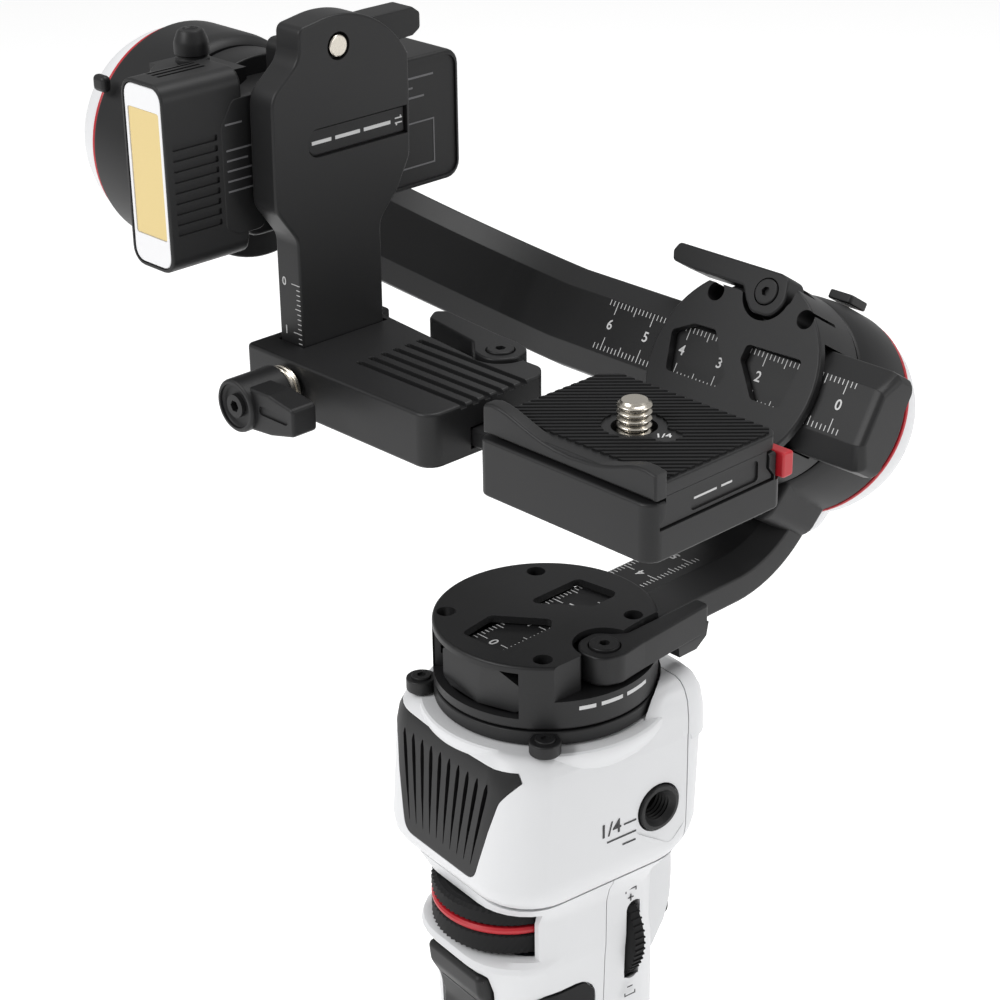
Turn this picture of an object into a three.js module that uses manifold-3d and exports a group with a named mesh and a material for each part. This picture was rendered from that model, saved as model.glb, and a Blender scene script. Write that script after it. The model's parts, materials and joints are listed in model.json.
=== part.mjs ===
// A one-handed three-axis camera gimbal, in millimetres, +Z up.
// The origin is the centre of the flat base of the grip, on the pan axis. The lens looks along -Y and the
// roll arm runs along X. The grip and head stand turned a few degrees about the pan axis, as they rest in the hand.
import * as THREE from "three";
import { mergeVertices } from "three/addons/utils/BufferGeometryUtils.js";
import Module from "manifold-3d";

const wasm = await Module();
wasm.setup();

// ---------- driving dimensions ----------
const GAP = 0.35; // clearance between neighbouring pieces
const ROUND = 36; // sides of a large round piece
const HEAD_TURN = THREE.MathUtils.degToRad(-7); // the head's turn about the pan axis
const SEAT_Z = 163.5; // top of the head, where the pan motor sits
const HEAD_Z = 130.4; // seam between head and grip
const WALL = 2.2; // plastic wall of the head and grip
const PAN_ARM_Z = 178.4; // scale face of the pan arm
const ROLL_TILT = THREE.MathUtils.degToRad(32.5); // rise of the roll axis towards the lens
const ROLL_ORIGIN = [1, 52.1, 214.4]; // where the roll axis meets the roll arm's scale face
const TILT_Y = 0.8; // tilt axis, which runs along X
const TILT_Z = 252.5;
const MOTOR_R = 21.5; // outer radius of the three motors' black rims
const ARM_WIDTH = 20.6; // section that the pan and roll arms share
const ARM_FLAT = 11.4;
const ARM_THICK = 8.8;
const ARM_BEVEL = 3.2;
const PLATE_X = [-62.6, -55.6]; // back and front face of the tilt plate
const BASE_Z = [210.8, 221.8]; // bottom and top of the camera platform
const SCREW_XY = [22, 0.6]; // axis of the camera screw
const QR_TOP = 225.8; // face the camera rests on

// ---------- materials ----------
const finish = (color, roughness, metalness = 0) =>
  new THREE.MeshStandardMaterial({ color, roughness, metalness });
const WHITE = finish(0xe9eaec, 0.45);
const BLACK = finish(0x1b1b1d, 0.55, 0.2);
const ANODISED = finish(0x2a2a2d, 0.5, 0.6);
const RUBBER = finish(0x161617, 0.85);
const RED = finish(0xc0202c, 0.4);
const STEEL = finish(0xb9b4aa, 0.3, 1);
const AMBER = finish(0xf2d98c, 0.4);
const GLASS = finish(0x101216, 0.1);
const BOARD = finish(0x1f5a3a, 0.6);
const CELL = finish(0x3b5fa8, 0.5);
const BRASS = finish(0xb08d4a, 0.35, 1);

// ---------- solids ----------
const SNAP = 2048; // vertices are put on a grid of 1/2048 mm, so that shared ones are equal
// A three.js geometry as a manifold-3d solid.
function solidOf(geometry) {
  const bare = geometry.index ? geometry.toNonIndexed() : geometry.clone();
  bare.deleteAttribute("normal");
  bare.deleteAttribute("uv");
  const values = bare.attributes.position.array;
  values.forEach((v, i) => (values[i] = Math.round(v * SNAP) / SNAP));
  const merged = mergeVertices(bare, 1e-4);
  return new wasm.Manifold(
    new wasm.Mesh({
      numProp: 3,
      vertProperties: merged.attributes.position.array,
      triVerts: new Uint32Array(merged.index.array),
    }),
  );
}

function geometryOf(solid) {
  const made = solid.getMesh();
  return new THREE.BufferGeometry()
    .setAttribute("position", new THREE.BufferAttribute(new Float32Array(made.vertProperties), 3))
    .setIndex(new THREE.BufferAttribute(new Uint32Array(made.triVerts), 1));
}

const join = (...shapes) => geometryOf(shapes.map(solidOf).reduce((a, b) => a.add(b)));
const cut = (shape, ...tools) =>
  geometryOf(tools.map(solidOf).reduce((a, b) => a.subtract(b), solidOf(shape)));
const common = (a, b) => geometryOf(solidOf(a).intersect(solidOf(b)));

const box = (x0, x1, y0, y1, z0, z1) =>
  new THREE.BoxGeometry(x1 - x0, y1 - y0, z1 - z0).translate((x0 + x1) / 2, (y0 + y1) / 2, (z0 + z1) / 2);

// A round bar along Z from z0 to z1, centred on (x, y).
const rodZ = (r, z0, z1, x = 0, y = 0, sides = 24, r1 = r) =>
  new THREE.CylinderGeometry(r1, r, z1 - z0, sides).rotateX(Math.PI / 2).translate(x, y, (z0 + z1) / 2);
const rodX = (r, x0, x1, y = 0, z = 0, sides = 24, r1 = r) =>
  new THREE.CylinderGeometry(r1, r, x1 - x0, sides).rotateZ(-Math.PI / 2).translate((x0 + x1) / 2, y, z);
const rodY = (r, y0, y1, x = 0, z = 0, sides = 24, r1 = r) =>
  new THREE.CylinderGeometry(r1, r, y1 - y0, sides).translate(x, (y0 + y1) / 2, z);

const polygon = (points) => new THREE.Shape(points.map(([x, y]) => new THREE.Vector2(x, y)));

// A rectangle with rounded corners, from (x0, y0) to (x1, y1).
function roundRect(x0, x1, y0, y1, r) {
  const shape = new THREE.Shape();
  shape.absarc(x1 - r, y0 + r, r, -Math.PI / 2, 0);
  shape.absarc(x1 - r, y1 - r, r, 0, Math.PI / 2);
  shape.absarc(x0 + r, y1 - r, r, Math.PI / 2, Math.PI);
  shape.absarc(x0 + r, y0 + r, r, Math.PI, (3 * Math.PI) / 2);
  return shape;
}

// Outlines extruded along Z, along X (outline in Y, Z) and along Y (outline in X, Z).
const prismZ = (shape, z0, z1, curveSegments = 6) =>
  new THREE.ExtrudeGeometry(shape, { depth: z1 - z0, bevelEnabled: false, curveSegments }).translate(0, 0, z0);
const prismX = (shape, x0, x1, curveSegments = 6) =>
  prismZ(shape, x0, x1, curveSegments).applyMatrix4(new THREE.Matrix4().set(0, 0, 1, 0, 1, 0, 0, 0, 0, 1, 0, 0, 0, 0, 0, 1));
const prismY = (shape, y0, y1, curveSegments = 6) =>
  prismZ(shape, -y1, -y0, curveSegments).applyMatrix4(new THREE.Matrix4().set(1, 0, 0, 0, 0, 0, -1, 0, 0, 1, 0, 0, 0, 0, 0, 1));

// A closed skin through rings of equal length, with flat ends.
function loft(rings) {
  const n = rings[0].length;
  const at = (ring, i) => ring[(i + n) % n];
  const out = [];
  const face = (a, b, c) => out.push(...a, ...b, ...c);
  for (let k = 0; k + 1 < rings.length; k += 1)
    for (let i = 0; i < n; i += 1) {
      face(at(rings[k], i), at(rings[k], i + 1), at(rings[k + 1], i + 1));
      face(at(rings[k], i), at(rings[k + 1], i + 1), at(rings[k + 1], i));
    }
  const first = rings[0];
  const last = rings[rings.length - 1];
  for (let i = 1; i + 1 < n; i += 1) {
    face(first[0], first[i + 1], first[i]);
    face(last[0], last[i], last[i + 1]);
  }
  const geometry = new THREE.BufferGeometry();
  geometry.setAttribute("position", new THREE.BufferAttribute(new Float32Array(out), 3));
  return geometry;
}

// The plan outline of the head or grip at height z: half width, front, back and corner radius.
function planRing(z, half, front, back, radius, inset = 0) {
  const shape = roundRect(-half + inset, half - inset, -front + inset, back - inset, Math.max(radius - inset, 1));
  return shape.getPoints(6).map((p) => [p.x, p.y, z]);
}

// ---------- the scene graph ----------
const gimbal = new THREE.Group();
const inHead = new THREE.Group();
inHead.rotation.z = HEAD_TURN;
const inRoll = new THREE.Group(); // x along the roll arm, y up its scale face, z out of the face
inRoll.position.set(...ROLL_ORIGIN);
inRoll.rotation.x = Math.PI / 2 - ROLL_TILT;
const inTilt = new THREE.Group(); // y and z measured from the tilt axis
inTilt.position.set(0, TILT_Y, TILT_Z);
gimbal.add(inHead, inRoll, inTilt);

function place(name, geometry, material, group = gimbal) {
  const mesh = new THREE.Mesh(geometry, material);
  mesh.name = name;
  group.add(mesh);
}

// ---------- head and grip ----------
// height, half width, front, back, corner radius
const GRIP_PLAN = [
  [0.5, 14.5, 16.5, 16, 9],
  [4, 16.5, 18.5, 18, 10],
  [70, 16.8, 19, 18.4, 10],
  [98, 17, 19.8, 18.6, 10],
  [113.5, 17.6, 24, 18.8, 13],
  [116, 17.8, 21.4, 19, 13],
  [124, 17.8, 21.4, 19, 13],
  [HEAD_Z - GAP, 21.6, 23, 22.8, 9],
];
const HEAD_PLAN = [
  [HEAD_Z, 20.6, 23, 22.4, 9],
  [134.6, 22, 26.6, 24.4, 9],
  [158, 22, 24, 25.2, 8.6],
  [161.6, 21.5, 23, 24.6, 8.6],
  [SEAT_Z, 20, 21.4, 23, 8],
];
const SHOULDER_Z = 168.4; // raised rear corners beside the pan motor
const hull = (plan, inset = 0) => loft(plan.map(([z, ...rest]) => planRing(z, ...rest, inset)));

const WHEEL = { y: -9.3, r: 15.4, z0: 116.2, z1: 126.8 };
const DIAL = { x: 7.6, y: 8, z: 111.8, r: 12.4, half: 1.5 };
const TRIGGER = { half: 8.8, z0: 86, z1: 111.2 };
const PANEL = { half: 11.5, z0: 104.6, z1: 126.4, y: 24.4 };
const STICK_Z = 119; // height of the joystick
const COVER_Y = 17.4; // seam of the head's rear cover
const PORT = { y: 10.4, z: 143.8, r: 4.8 };
const LUG_R = 2.9; // the pan motor's screw lugs
const lugPlaces = () =>
  [90, 225, 315].map((angle) => {
    const turn = THREE.MathUtils.degToRad(angle) - HEAD_TURN;
    return [(MOTOR_R + 2.3) * Math.cos(turn), (MOTOR_R + 2.3) * Math.sin(turn)];
  });

function gripSolid() {
  const slice = (y, z) => [[-PANEL.half, 10, z], [PANEL.half, 10, z], [PANEL.half, y, z], [-PANEL.half, y, z]];
  const bump = loft([slice(17.6, 98), slice(21, 104), slice(PANEL.y - 0.6, 110), slice(PANEL.y, 117), slice(23, HEAD_Z - GAP)]);
  return join(hull(GRIP_PLAN), bump);
}

function gripShells() {
  const inside = hull(
    [[3.5, 16.5, 18.5, 18, 10], ...GRIP_PLAN.slice(2, 7), [HEAD_Z + 1, 18.6, 20.6, 19, 9]],
    WALL,
  );
  const openings = [
    inside,
    rodZ(WHEEL.r + 0.6, WHEEL.z0 - GAP, WHEEL.z1 + GAP, 0, WHEEL.y, ROUND), // control wheel
    box(-TRIGGER.half - GAP, TRIGGER.half + GAP, -30, -15, TRIGGER.z0 - GAP, TRIGGER.z1 + GAP),
    rodY(DIAL.r + 0.5, DIAL.y - DIAL.half - GAP, DIAL.y + DIAL.half + GAP, DIAL.x, DIAL.z, ROUND), // side dial
    rodZ(10.4, -1, 5), // base cap
    prismZ(roundRect(-11, 11, -11, 11, 6), -1, 4.2, 3),
    prismX(roundRect(-17.2, -1.2, 34, 107.4, 5), 15.4, 25, 4), // side grip pads
    prismX(roundRect(-17.2, -1.2, 34, 107.4, 5), -25, -15.4, 4),
    rodX(3.4, -25, -12, 8.5, 112), // power button
    prismY(roundRect(-9.4, 9.4, 105, 125.4, 3), 20.4, 40, 4), // control panel
    prismX(roundRect(-5, 6, 14, 20.6, 2.6), -25, -12, 4), // charging port
  ];
  const whole = cut(gripSolid(), ...openings);
  place("grip_front_shell", common(whole, box(-40, 40, -40, 0.75, -1, 140)), WHITE, inHead);
  place("grip_rear_shell", common(whole, box(-40, 40, 0.75 + GAP, 40, -1, 140)), WHITE, inHead);
}

// The vent's outline on the front of the head, wider at the top.
const ventOutline = (grow) =>
  polygon([
    [-11 - grow, 136 - grow],
    [11 + grow, 136 - grow],
    [16.2 + grow, 155.6],
    [19.2 + grow, 161 + grow],
    [-19.2 - grow, 161 + grow],
    [-16.2 - grow, 155.6],
  ]);

function headShells() {
  const shoulder = loft([planRing(158, 22, -5, 25, 6), planRing(164.5, 21.4, -6, 24.2, 6), planRing(SHOULDER_Z, 18, -12, 21.6, 4)]);
  const openings = [
    hull([[HEAD_Z - 1, 18.6, 20.6, 19, 9], [135, 22, 25.4, 24, 9], [159, 22, 23.5, 24.4, 9]], WALL),
    rodZ(17, 155, SEAT_Z + GAP, 0, 0, ROUND), // pan motor
    rodZ(MOTOR_R + 2 * GAP, SEAT_Z, 180, 0, 0, ROUND),
    prismY(ventOutline(GAP), -40, -20),
    rodX(PORT.r + GAP, 15, 30, PORT.y, PORT.z, 24),
    prismY(roundRect(-9.4, 9.4, 141, 153.4, 1.6), 23.6, 40, 3), // display
    ...lugPlaces().map(([x, y]) => rodZ(LUG_R + GAP, SEAT_Z, 180, x, y, 20)),
  ];
  const whole = cut(join(hull(HEAD_PLAN), shoulder), ...openings);
  place("head_shell", common(whole, box(-40, 40, -40, COVER_Y, 100, 180)), WHITE, inHead);
  place("head_rear_cover", common(whole, box(-40, 40, COVER_Y + GAP, 40, 100, 180)), WHITE, inHead);
}

// A slab that follows the front of the head, with a groove between each pair of fins.
function ventGrille() {
  const fins = 9;
  const grooves = Array.from({ length: fins + 1 }, (_, i) => {
    const x = -13.6 + (27.2 * i) / fins;
    const low = x * 0.72;
    return loft([
      [[low - 0.2, -40, 139], [low + 0.2, -40, 139], [low + 0.2, -25.6, 139], [low - 0.2, -25.6, 139]],
      [[x - 0.95, -40, 159], [x + 0.95, -40, 159], [x + 0.7, -21.6, 159], [x - 0.7, -21.6, 159]],
    ]);
  });
  const slab = common(prismY(ventOutline(0), -40, -20.6), hull(HEAD_PLAN));
  place("vent_grille", cut(slab, rodZ(MOTOR_R + 2 * GAP, SEAT_Z, 180, 0, 0, ROUND), ...grooves), BLACK, inHead);
}

function controls() {
  const wheel = cut(
    rodZ(WHEEL.r, WHEEL.z0, WHEEL.z1, 0, WHEEL.y, ROUND),
    cut(rodZ(20, 121.3, 122.9, 0, WHEEL.y, ROUND), rodZ(WHEEL.r - 1.2, 121, 123, 0, WHEEL.y, ROUND)),
  );
  place("control_wheel", wheel, RUBBER, inHead);
  const line = cut(
    rodZ(WHEEL.r - 0.1, 121.3 + 0.3, 122.9 - 0.3, 0, WHEEL.y, ROUND),
    rodZ(WHEEL.r - 0.9, 121, 123.4, 0, WHEEL.y, ROUND),
  );
  place("control_wheel_line", line, RED, inHead);
  place("side_dial", rodY(DIAL.r, DIAL.y - DIAL.half, DIAL.y + DIAL.half, DIAL.x, DIAL.z, ROUND), RUBBER, inHead);
  const trigger = prismX(
    polygon([[-15.6, 86], [-19.2, 86], [-20.4, 91], [-20, 98], [-21.6, 104], [-23.4, 111.2], [-15.6, 111.2]]),
    -TRIGGER.half,
    TRIGGER.half,
  );
  place("trigger", trigger, BLACK, inHead);
  place("power_button", rodX(3, -19.4, -15.8, 8.5, 112, 24), BLACK, inHead);
  const panel = cut(
    prismY(roundRect(-9, 9, 105.4, 125, 2.6), 20.8, 23.9, 4),
    rodY(4.3, 18, 30, 0, STICK_Z), // joystick
    rodY(2.6, 18, 30, -5, STICK_Z - 9.6),
    rodY(2.6, 18, 30, 5, STICK_Z - 9.6),
  );
  place("control_panel", panel, BLACK, inHead);
  place("display_window", prismY(roundRect(-9, 9, 141.4, 153, 1.3), 24, 24.8, 3), GLASS, inHead);
  const stick = join(rodY(2, 21.4, 25, 0, STICK_Z, 20), rodY(5.2, 24.8, 26, 0, STICK_Z), rodY(3, 25.8, 27.4, 0, STICK_Z, 20));
  place("joystick", stick, BLACK, inHead);
  place("record_button", rodY(2.25, 21.8, 24.8, -5, STICK_Z - 9.6, 20), RED, inHead);
  place("menu_button", rodY(2.25, 21.8, 24.8, 5, STICK_Z - 9.6, 20), BLACK, inHead);
}

function gripFittings() {
  const pad = (side) => {
    const outline = roundRect(-16.8, -1.6, 34.4, 107, 4.6);
    const shape = common(prismX(outline, -30, 30, 4), hull(GRIP_PLAN.map(([z, a, f, b, r]) => [z, a + 0.5, f + 0.5, b + 0.5, r])));
    return common(shape, side > 0 ? box(15.8, 30, -30, 10, 30, 110) : box(-30, -15.8, -30, 10, 30, 110));
  };
  place("grip_pad_right", pad(1), RUBBER, inHead);
  place("grip_pad_left", pad(-1), RUBBER, inHead);
  const cap = cut(
    join(prismZ(roundRect(-10.6, 10.6, -10.6, 10.6, 5.6), 0, 3.8, 3), rodZ(10, 3, 4.8)),
    rodZ(5.4, -1, 6, 0, 0, 32),
  );
  place("base_cap", cap, BLACK, inHead);
  place("tripod_insert", cut(rodZ(5, 0.2, 9), rodZ(3.1, -1, 7.6)), BRASS, inHead);
  place("battery_pack", prismZ(roundRect(-11.6, 11.6, -12, 13, 3), 20, 84, 3), CELL, inHead);
  place("main_board", box(-12.5, 12.5, -1, 0.6, 134, 152), BOARD, inHead);
  place("charging_port_cover", prismX(roundRect(-4.6, 5.6, 14.4, 20.2, 2.2), -16.9, -14.8, 4), RUBBER, inHead);
  place("expansion_port", cut(rodX(PORT.r, 15, 22.4, PORT.y, PORT.z), rodX(3.15, 16.6, 30, PORT.y, PORT.z)), BLACK, inHead);
}

// ---------- pan motor and arm ----------
const PAN_CLAMP_Z = [167, 180.2];
const PAN_LEVER = [16.2, -0.6];
// The groove that holds an arm: it runs along Y at height `face` below the window plate.
function windowPair(depth0, depth1) {
  return [
    prismZ(polygon([[-4.5, -17.2], [6.2, -15.6], [6.2, -6.6], [2.4, -3.2], [-6.2, -9.6]]), depth0, depth1),
    prismZ(polygon([[-6.4, 0.6], [1.4, 17.2], [5.6, 15], [6.2, 6.8], [-2.6, 0.2]]), depth0, depth1),
  ];
}

function panMotor() {
  const lugs = lugPlaces().map(([x, y]) => rodZ(LUG_R, SEAT_Z + GAP, 166.6, x, y, 20));
  const rim = join(rodZ(MOTOR_R, SEAT_Z + GAP, 166.6, 0, 0, ROUND), ...lugs);
  place("pan_stator", cut(rim, rodZ(6.4, 150, 170)), BLACK, inHead);
}

function panRotor() {
  const [z0, z1] = PAN_CLAMP_Z;
  const half = ARM_WIDTH / 2 + GAP;
  const clamp = cut(
    rodZ(MOTOR_R, z0, z1, 0, 0, ROUND),
    box(-half, half, -30, 30, PAN_ARM_Z - ARM_THICK - GAP, PAN_ARM_Z + GAP),
    ...windowPair(170, 190),
    ...[[-13.6, -12.4], [-13.6, 12], [12.2, 11.8], [12.2, -12.6]].map(([x, y]) => rodZ(1.7, 172, 190, x, y, 16)),
    rodZ(5.8, 173, 190, ...PAN_LEVER, 28),
    prismZ(polygon([[15.8, -30], [40, -30], [40, 34], [15, 34], [14.8, 12], [15.2, 4], [16.2, -6.4]]), 173, 190),
  );
  place("pan_clamp", join(clamp, rodZ(1.5, 172.6, 180.4, ...PAN_LEVER, 20)), ANODISED);
  place("pan_shaft", rodZ(6, 152, z0 - GAP, 0, 0, 28), STEEL);
  const lever = cut(
    join(
      rodZ(5.2, 173.6, 179.8, ...PAN_LEVER, 28),
      prismZ(polygon([[16.2, -5], [21, -1], [20, 8], [19, 25.4], [15.6, 25.4], [15.6, 4.2]]), 173.6, 179.8),
      box(15.6, 19.2, 17.4, 25.4, 170.6, 175),
    ),
    rodZ(1.85, 160, 190, ...PAN_LEVER, 20),
  );
  place("pan_lever", lever, BLACK);
}

// Half of the arm's section, mirrored: width across, height below the scale face.
function armSection() {
  const w = ARM_WIDTH / 2;
  const f = ARM_FLAT / 2;
  return [[-w, -ARM_THICK], [w, -ARM_THICK], [w, -ARM_BEVEL], [f, 0], [-f, 0], [-w, -ARM_BEVEL]];
}

function panArm() {
  // Rings along the arm: run along Y, then rise towards the roll motor.
  const rise = ([y, z, pitch]) =>
    armSection().map(([across, down]) => [-across, y - down * Math.sin(pitch) * -1, z + down * Math.cos(pitch)]);
  const path = [
    [-19.5, PAN_ARM_Z, 0],
    [46, PAN_ARM_Z, 0],
    [52, PAN_ARM_Z + 1.3, 0.4],
    [57.6, PAN_ARM_Z + 5.3, 0.8],
    [61, PAN_ARM_Z + 10, 1.05],
    [62.4, PAN_ARM_Z + 12.7, 1.05],
  ];
  place("pan_arm", loft(path.map(rise)), ANODISED);
}

// ---------- roll motor, clamp and arm: x along the arm, y up its scale face, z out of it ----------
const HOUSING_BACK = -29.5;
function rollMotor() {
  const housing = cut(
    join(
      rodZ(21.8, HOUSING_BACK, -13.6, 0, 0, ROUND),
      prismZ(roundRect(-10.6, 10.6, -25.2, 0, 4), HOUSING_BACK, -13.6),
    ),
    rodZ(6.4, -28, 0),
  );
  place("roll_motor_housing", housing, BLACK, inRoll);
  const ring = join(
    rodZ(21.4, HOUSING_BACK - 1.3, HOUSING_BACK - GAP, 0, 0, ROUND),
    prismZ(roundRect(-8.6, 8.6, -25, 0, 5), HOUSING_BACK - 1.3, HOUSING_BACK - GAP),
  );
  place("roll_seal_ring", ring, RED, inRoll);
  const cap = join(
    rodZ(20.8, -36.5, HOUSING_BACK - 1.3 - GAP, 0, 0, ROUND),
    rodZ(15.5, -40.4, -36.4, 0, 0, ROUND, 20.8),
    prismZ(roundRect(-8.2, 8.2, -24.8, 0, 5), -36.5, HOUSING_BACK - 1.3 - GAP),
  );
  place("roll_motor_cap", cap, WHITE, inRoll);
  place("roll_lock_tab", box(-3, 3, 22.3, 24.2, -29, -22.6), BLACK, inRoll);
}

const ROLL_CLAMP_R = 20.4;
function rollRotor() {
  const half = ARM_WIDTH / 2 + GAP;
  const windows = [
    prismZ(polygon([[-16, -5.3], [-2.2, -5.2], [-0.6, -2], [-7.4, 6], [-16.4, 5.2]]), -1, 9),
    prismZ(polygon([[1.2, 3.4], [7.4, -5.2], [15.2, -4.8], [15.6, 5.8], [1.4, 6]]), -1, 9),
  ];
  const lever = [1.4, 16.6];
  const clamp = cut(
    rodZ(ROLL_CLAMP_R, -12.4, 2.2, 0, 0, ROUND),
    box(-30, 30, -half, half, -ARM_THICK - GAP, GAP),
    ...windows,
    ...[[-10.8, 13], [12.2, 13]].map(([x, y]) => rodZ(1.9, -6, 9, x, y, 16)),
    rodZ(5.8, -4.6, 9, ...lever, 28),
    prismZ(polygon([[-30, 15], [-30, 30], [9, 30], [7.2, 16.6], [1.4, 15]]), -4.6, 9),
  );
  place("roll_clamp", join(clamp, rodZ(1.5, -5.2, 2.8, ...lever, 20)), ANODISED, inRoll);
  place("roll_shaft", rodZ(6, -27, -12.4 - GAP, 0, 0, 28), STEEL, inRoll);
  const handle = cut(
    join(
      rodZ(5.2, -3.4, 2.6, ...lever, 28),
      prismZ(polygon([[2.4, 16.6], [2.4, 21], [-23.6, 21], [-24.6, 18.6], [-23.4, 16.6], [-3.6, 16.2]]), -3.4, 2.6),
    ),
    rodZ(1.85, -30, 30, ...lever, 20),
  );
  place("roll_lever", handle, BLACK, inRoll);
}

// The roll arm runs along -x, then curves forwards to the tilt motor.
const ARM_CURVE = { x: -49, r: 45, lift: 4.4 };
const TILT_FRONT = -88.4; // front face of the tilt motor's stator
const TILT_BACK = -105.5;
function rollArm() {
  const section = armSection();
  const ring = (x, z, turn, lift) =>
    section.map(([across, down]) => [x + down * Math.sin(turn), across + lift, z + down * Math.cos(turn)]);
  const rings = [ring(34, 0, 0, 0), ring(ARM_CURVE.x, 0, 0, 0)];
  const steps = 9;
  for (let i = 1; i <= steps; i += 1) {
    const turn = (Math.PI / 2) * (i / steps);
    const x = ARM_CURVE.x - ARM_CURVE.r * Math.sin(turn);
    const z = ARM_CURVE.r - ARM_CURVE.r * Math.cos(turn);
    rings.push(ring(x, z, turn, (ARM_CURVE.lift * i) / steps));
  }
  const arm = loft(rings.map((points) => points.reverse()));
  // The end of the arm is cut round, to meet the tilt motor's housing.
  const housingRoom = rodX(22.7 + GAP, -140, -40, 0, 0, ROUND).applyMatrix4(toRoll());
  place("roll_arm", cut(arm, housingRoom), ANODISED, inRoll);
}

// Tilt-frame coordinates to roll-frame coordinates.
function toRoll() {
  const tilt = new THREE.Matrix4().makeTranslation(0, TILT_Y, TILT_Z);
  const roll = new THREE.Matrix4()
    .makeTranslation(...ROLL_ORIGIN)
    .multiply(new THREE.Matrix4().makeRotationX(Math.PI / 2 - ROLL_TILT));
  return roll.invert().multiply(tilt);
}

// ---------- tilt motor, clamp block and fill light: y and z from the tilt axis ----------
function tiltMotor() {
  const housing = cut(rodX(22.6, TILT_BACK, TILT_FRONT, 0, 0, ROUND), rodX(6.4, -104, -80));
  place("tilt_motor_housing", housing, BLACK, inTilt);
  place("tilt_seal_ring", rodX(21.6, TILT_BACK - 1.3, TILT_BACK - GAP, 0, 0, ROUND), RED, inTilt);
  const cap = join(
    rodX(20.6, TILT_BACK - 6.4, TILT_BACK - 1.3 - GAP, 0, 0, ROUND),
    rodX(20.6, TILT_BACK - 10.4, TILT_BACK - 6.3, 0, 0, ROUND, 20.6),
  );
  place("tilt_motor_cap", cap, WHITE, inTilt);
  place("tilt_lock_tab", box(-105.2, -98.6, -21.6, -19.4, 12.4, 16.4), BLACK, inTilt);
}

const LIGHT = { x: [-76.6, -63.8], y: -34.8, z: [-12.2, 24.2], r: 3.4 };
const LIGHT_DIAL = [-80.8, -14.8];
const PLATE_CLAMP = { y: [-6, 14], z: [16.9, 31] };
function tiltRotor() {
  const [back, front] = [PLATE_X[0] - 17.5, PLATE_X[0] - GAP - 2.6];
  const block = cut(
    join(
      rodX(20.6, -88 + GAP, back, 0, 0, ROUND),
      prismX(roundRect(-16, 40.4, -10, 17, 3.6), back - 0.01, front, 4), // label block
      prismX(roundRect(...PLATE_CLAMP.y, 0, 27, 2), back - 0.01, front, 4),
      prismX(roundRect(-4.4, 12.4, -9, 25, 2), front - 0.01, PLATE_X[0] - GAP, 4), // rail that holds the plate
    ),
    rodX(5.6, -100, -83),
    rodX(6.2, front - 4.6, -50, 4.8, 24.4, 28), // lever's boss
    box(front - 4.6, -50, 4.8, 40, 20.6, 40),
  );
  place("tilt_clamp_block", join(block, rodX(1.5, front - 5, PLATE_X[0] - 0.6, 4.8, 24.4, 20)), BLACK, inTilt);
  place("tilt_shaft", rodX(5.2, -100, -83.4, 0, 0, 28), STEEL, inTilt);
  const lever = cut(
    join(
      rodX(5.4, front - 4.2, PLATE_X[0] - 0.8, 4.8, 24.4, 28),
      prismX(polygon([[4.8, 29.8], [4.8, 24.4], [9.6, 22.6], [29.4, 22.4], [29.4, 27.6], [26, 28.6]]), front - 4.2, PLATE_X[0] - 0.8),
    ),
    rodX(1.85, -100, 0, 4.8, 24.4, 20),
  );
  place("tilt_lever", lever, BLACK, inTilt);
}

function fillLight() {
  const { x, y, z, r } = LIGHT;
  const body = prismY(roundRect(...x, ...z, r), y, -16.35, 4);
  const rear = prismZ(polygon([[-87.6, -18.6], [-84, -22.6], [x[0] + 1, -27], [x[0] + 1, -16.35], [-87.6, -16.35]]), -9, 21.4);
  const deck = box(-87.6, -72, -20, -8.8, 17.2, 21.4);
  const label = prismX(roundRect(-22, -12.6, -7.6, 18.6, 2.4), PLATE_X[0] - 2.6, x[1], 4);
  const ribs = Array.from({ length: 9 }, (_, i) =>
    box(x[1] - 0.6, x[1] + 3, -33, -22.6, -4.6 + i * 2.05, -3.8 + i * 2.05),
  );
  const housing = cut(
    join(body, rear, deck, label),
    prismY(roundRect(x[0] + 0.9, x[1] - 0.9, z[0] + 0.9, z[1] - 0.9, r - 0.9), y - 1, y + 2.4, 4),
    rodX(20.6 + GAP, -100, -50, 0, 0, ROUND),
    rodZ(2.2, 14, 40, ...LIGHT_DIAL, 20),
    ...ribs,
  );
  place("light_housing", housing, BLACK, inTilt);
  const lens = cut(
    prismY(roundRect(x[0] + 1.2, x[1] - 1.2, z[0] + 1.2, z[1] - 1.2, r - 1.2), y + 0.2, y + 2.1, 4),
    box(x[0] + 1.9, x[1] - 1.9, y - 1, y + 0.9, z[0] + 7, z[1] - 5),
  );
  place("light_frame", lens, WHITE, inTilt);
  place("light_panel", box(x[0] + 2.2, x[1] - 2.2, y + 0.35, y + 0.6, z[0] + 7.3, z[1] - 5.3), AMBER, inTilt);
  const dial = join(rodZ(3.4, 21.8, 25.6, ...LIGHT_DIAL), rodZ(3.4, 25.5, 28.4, ...LIGHT_DIAL, 24, 2.5), rodZ(1.8, 18, 21.9, ...LIGHT_DIAL, 20));
  place("light_dial", dial, BLACK, inTilt);
}

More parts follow.
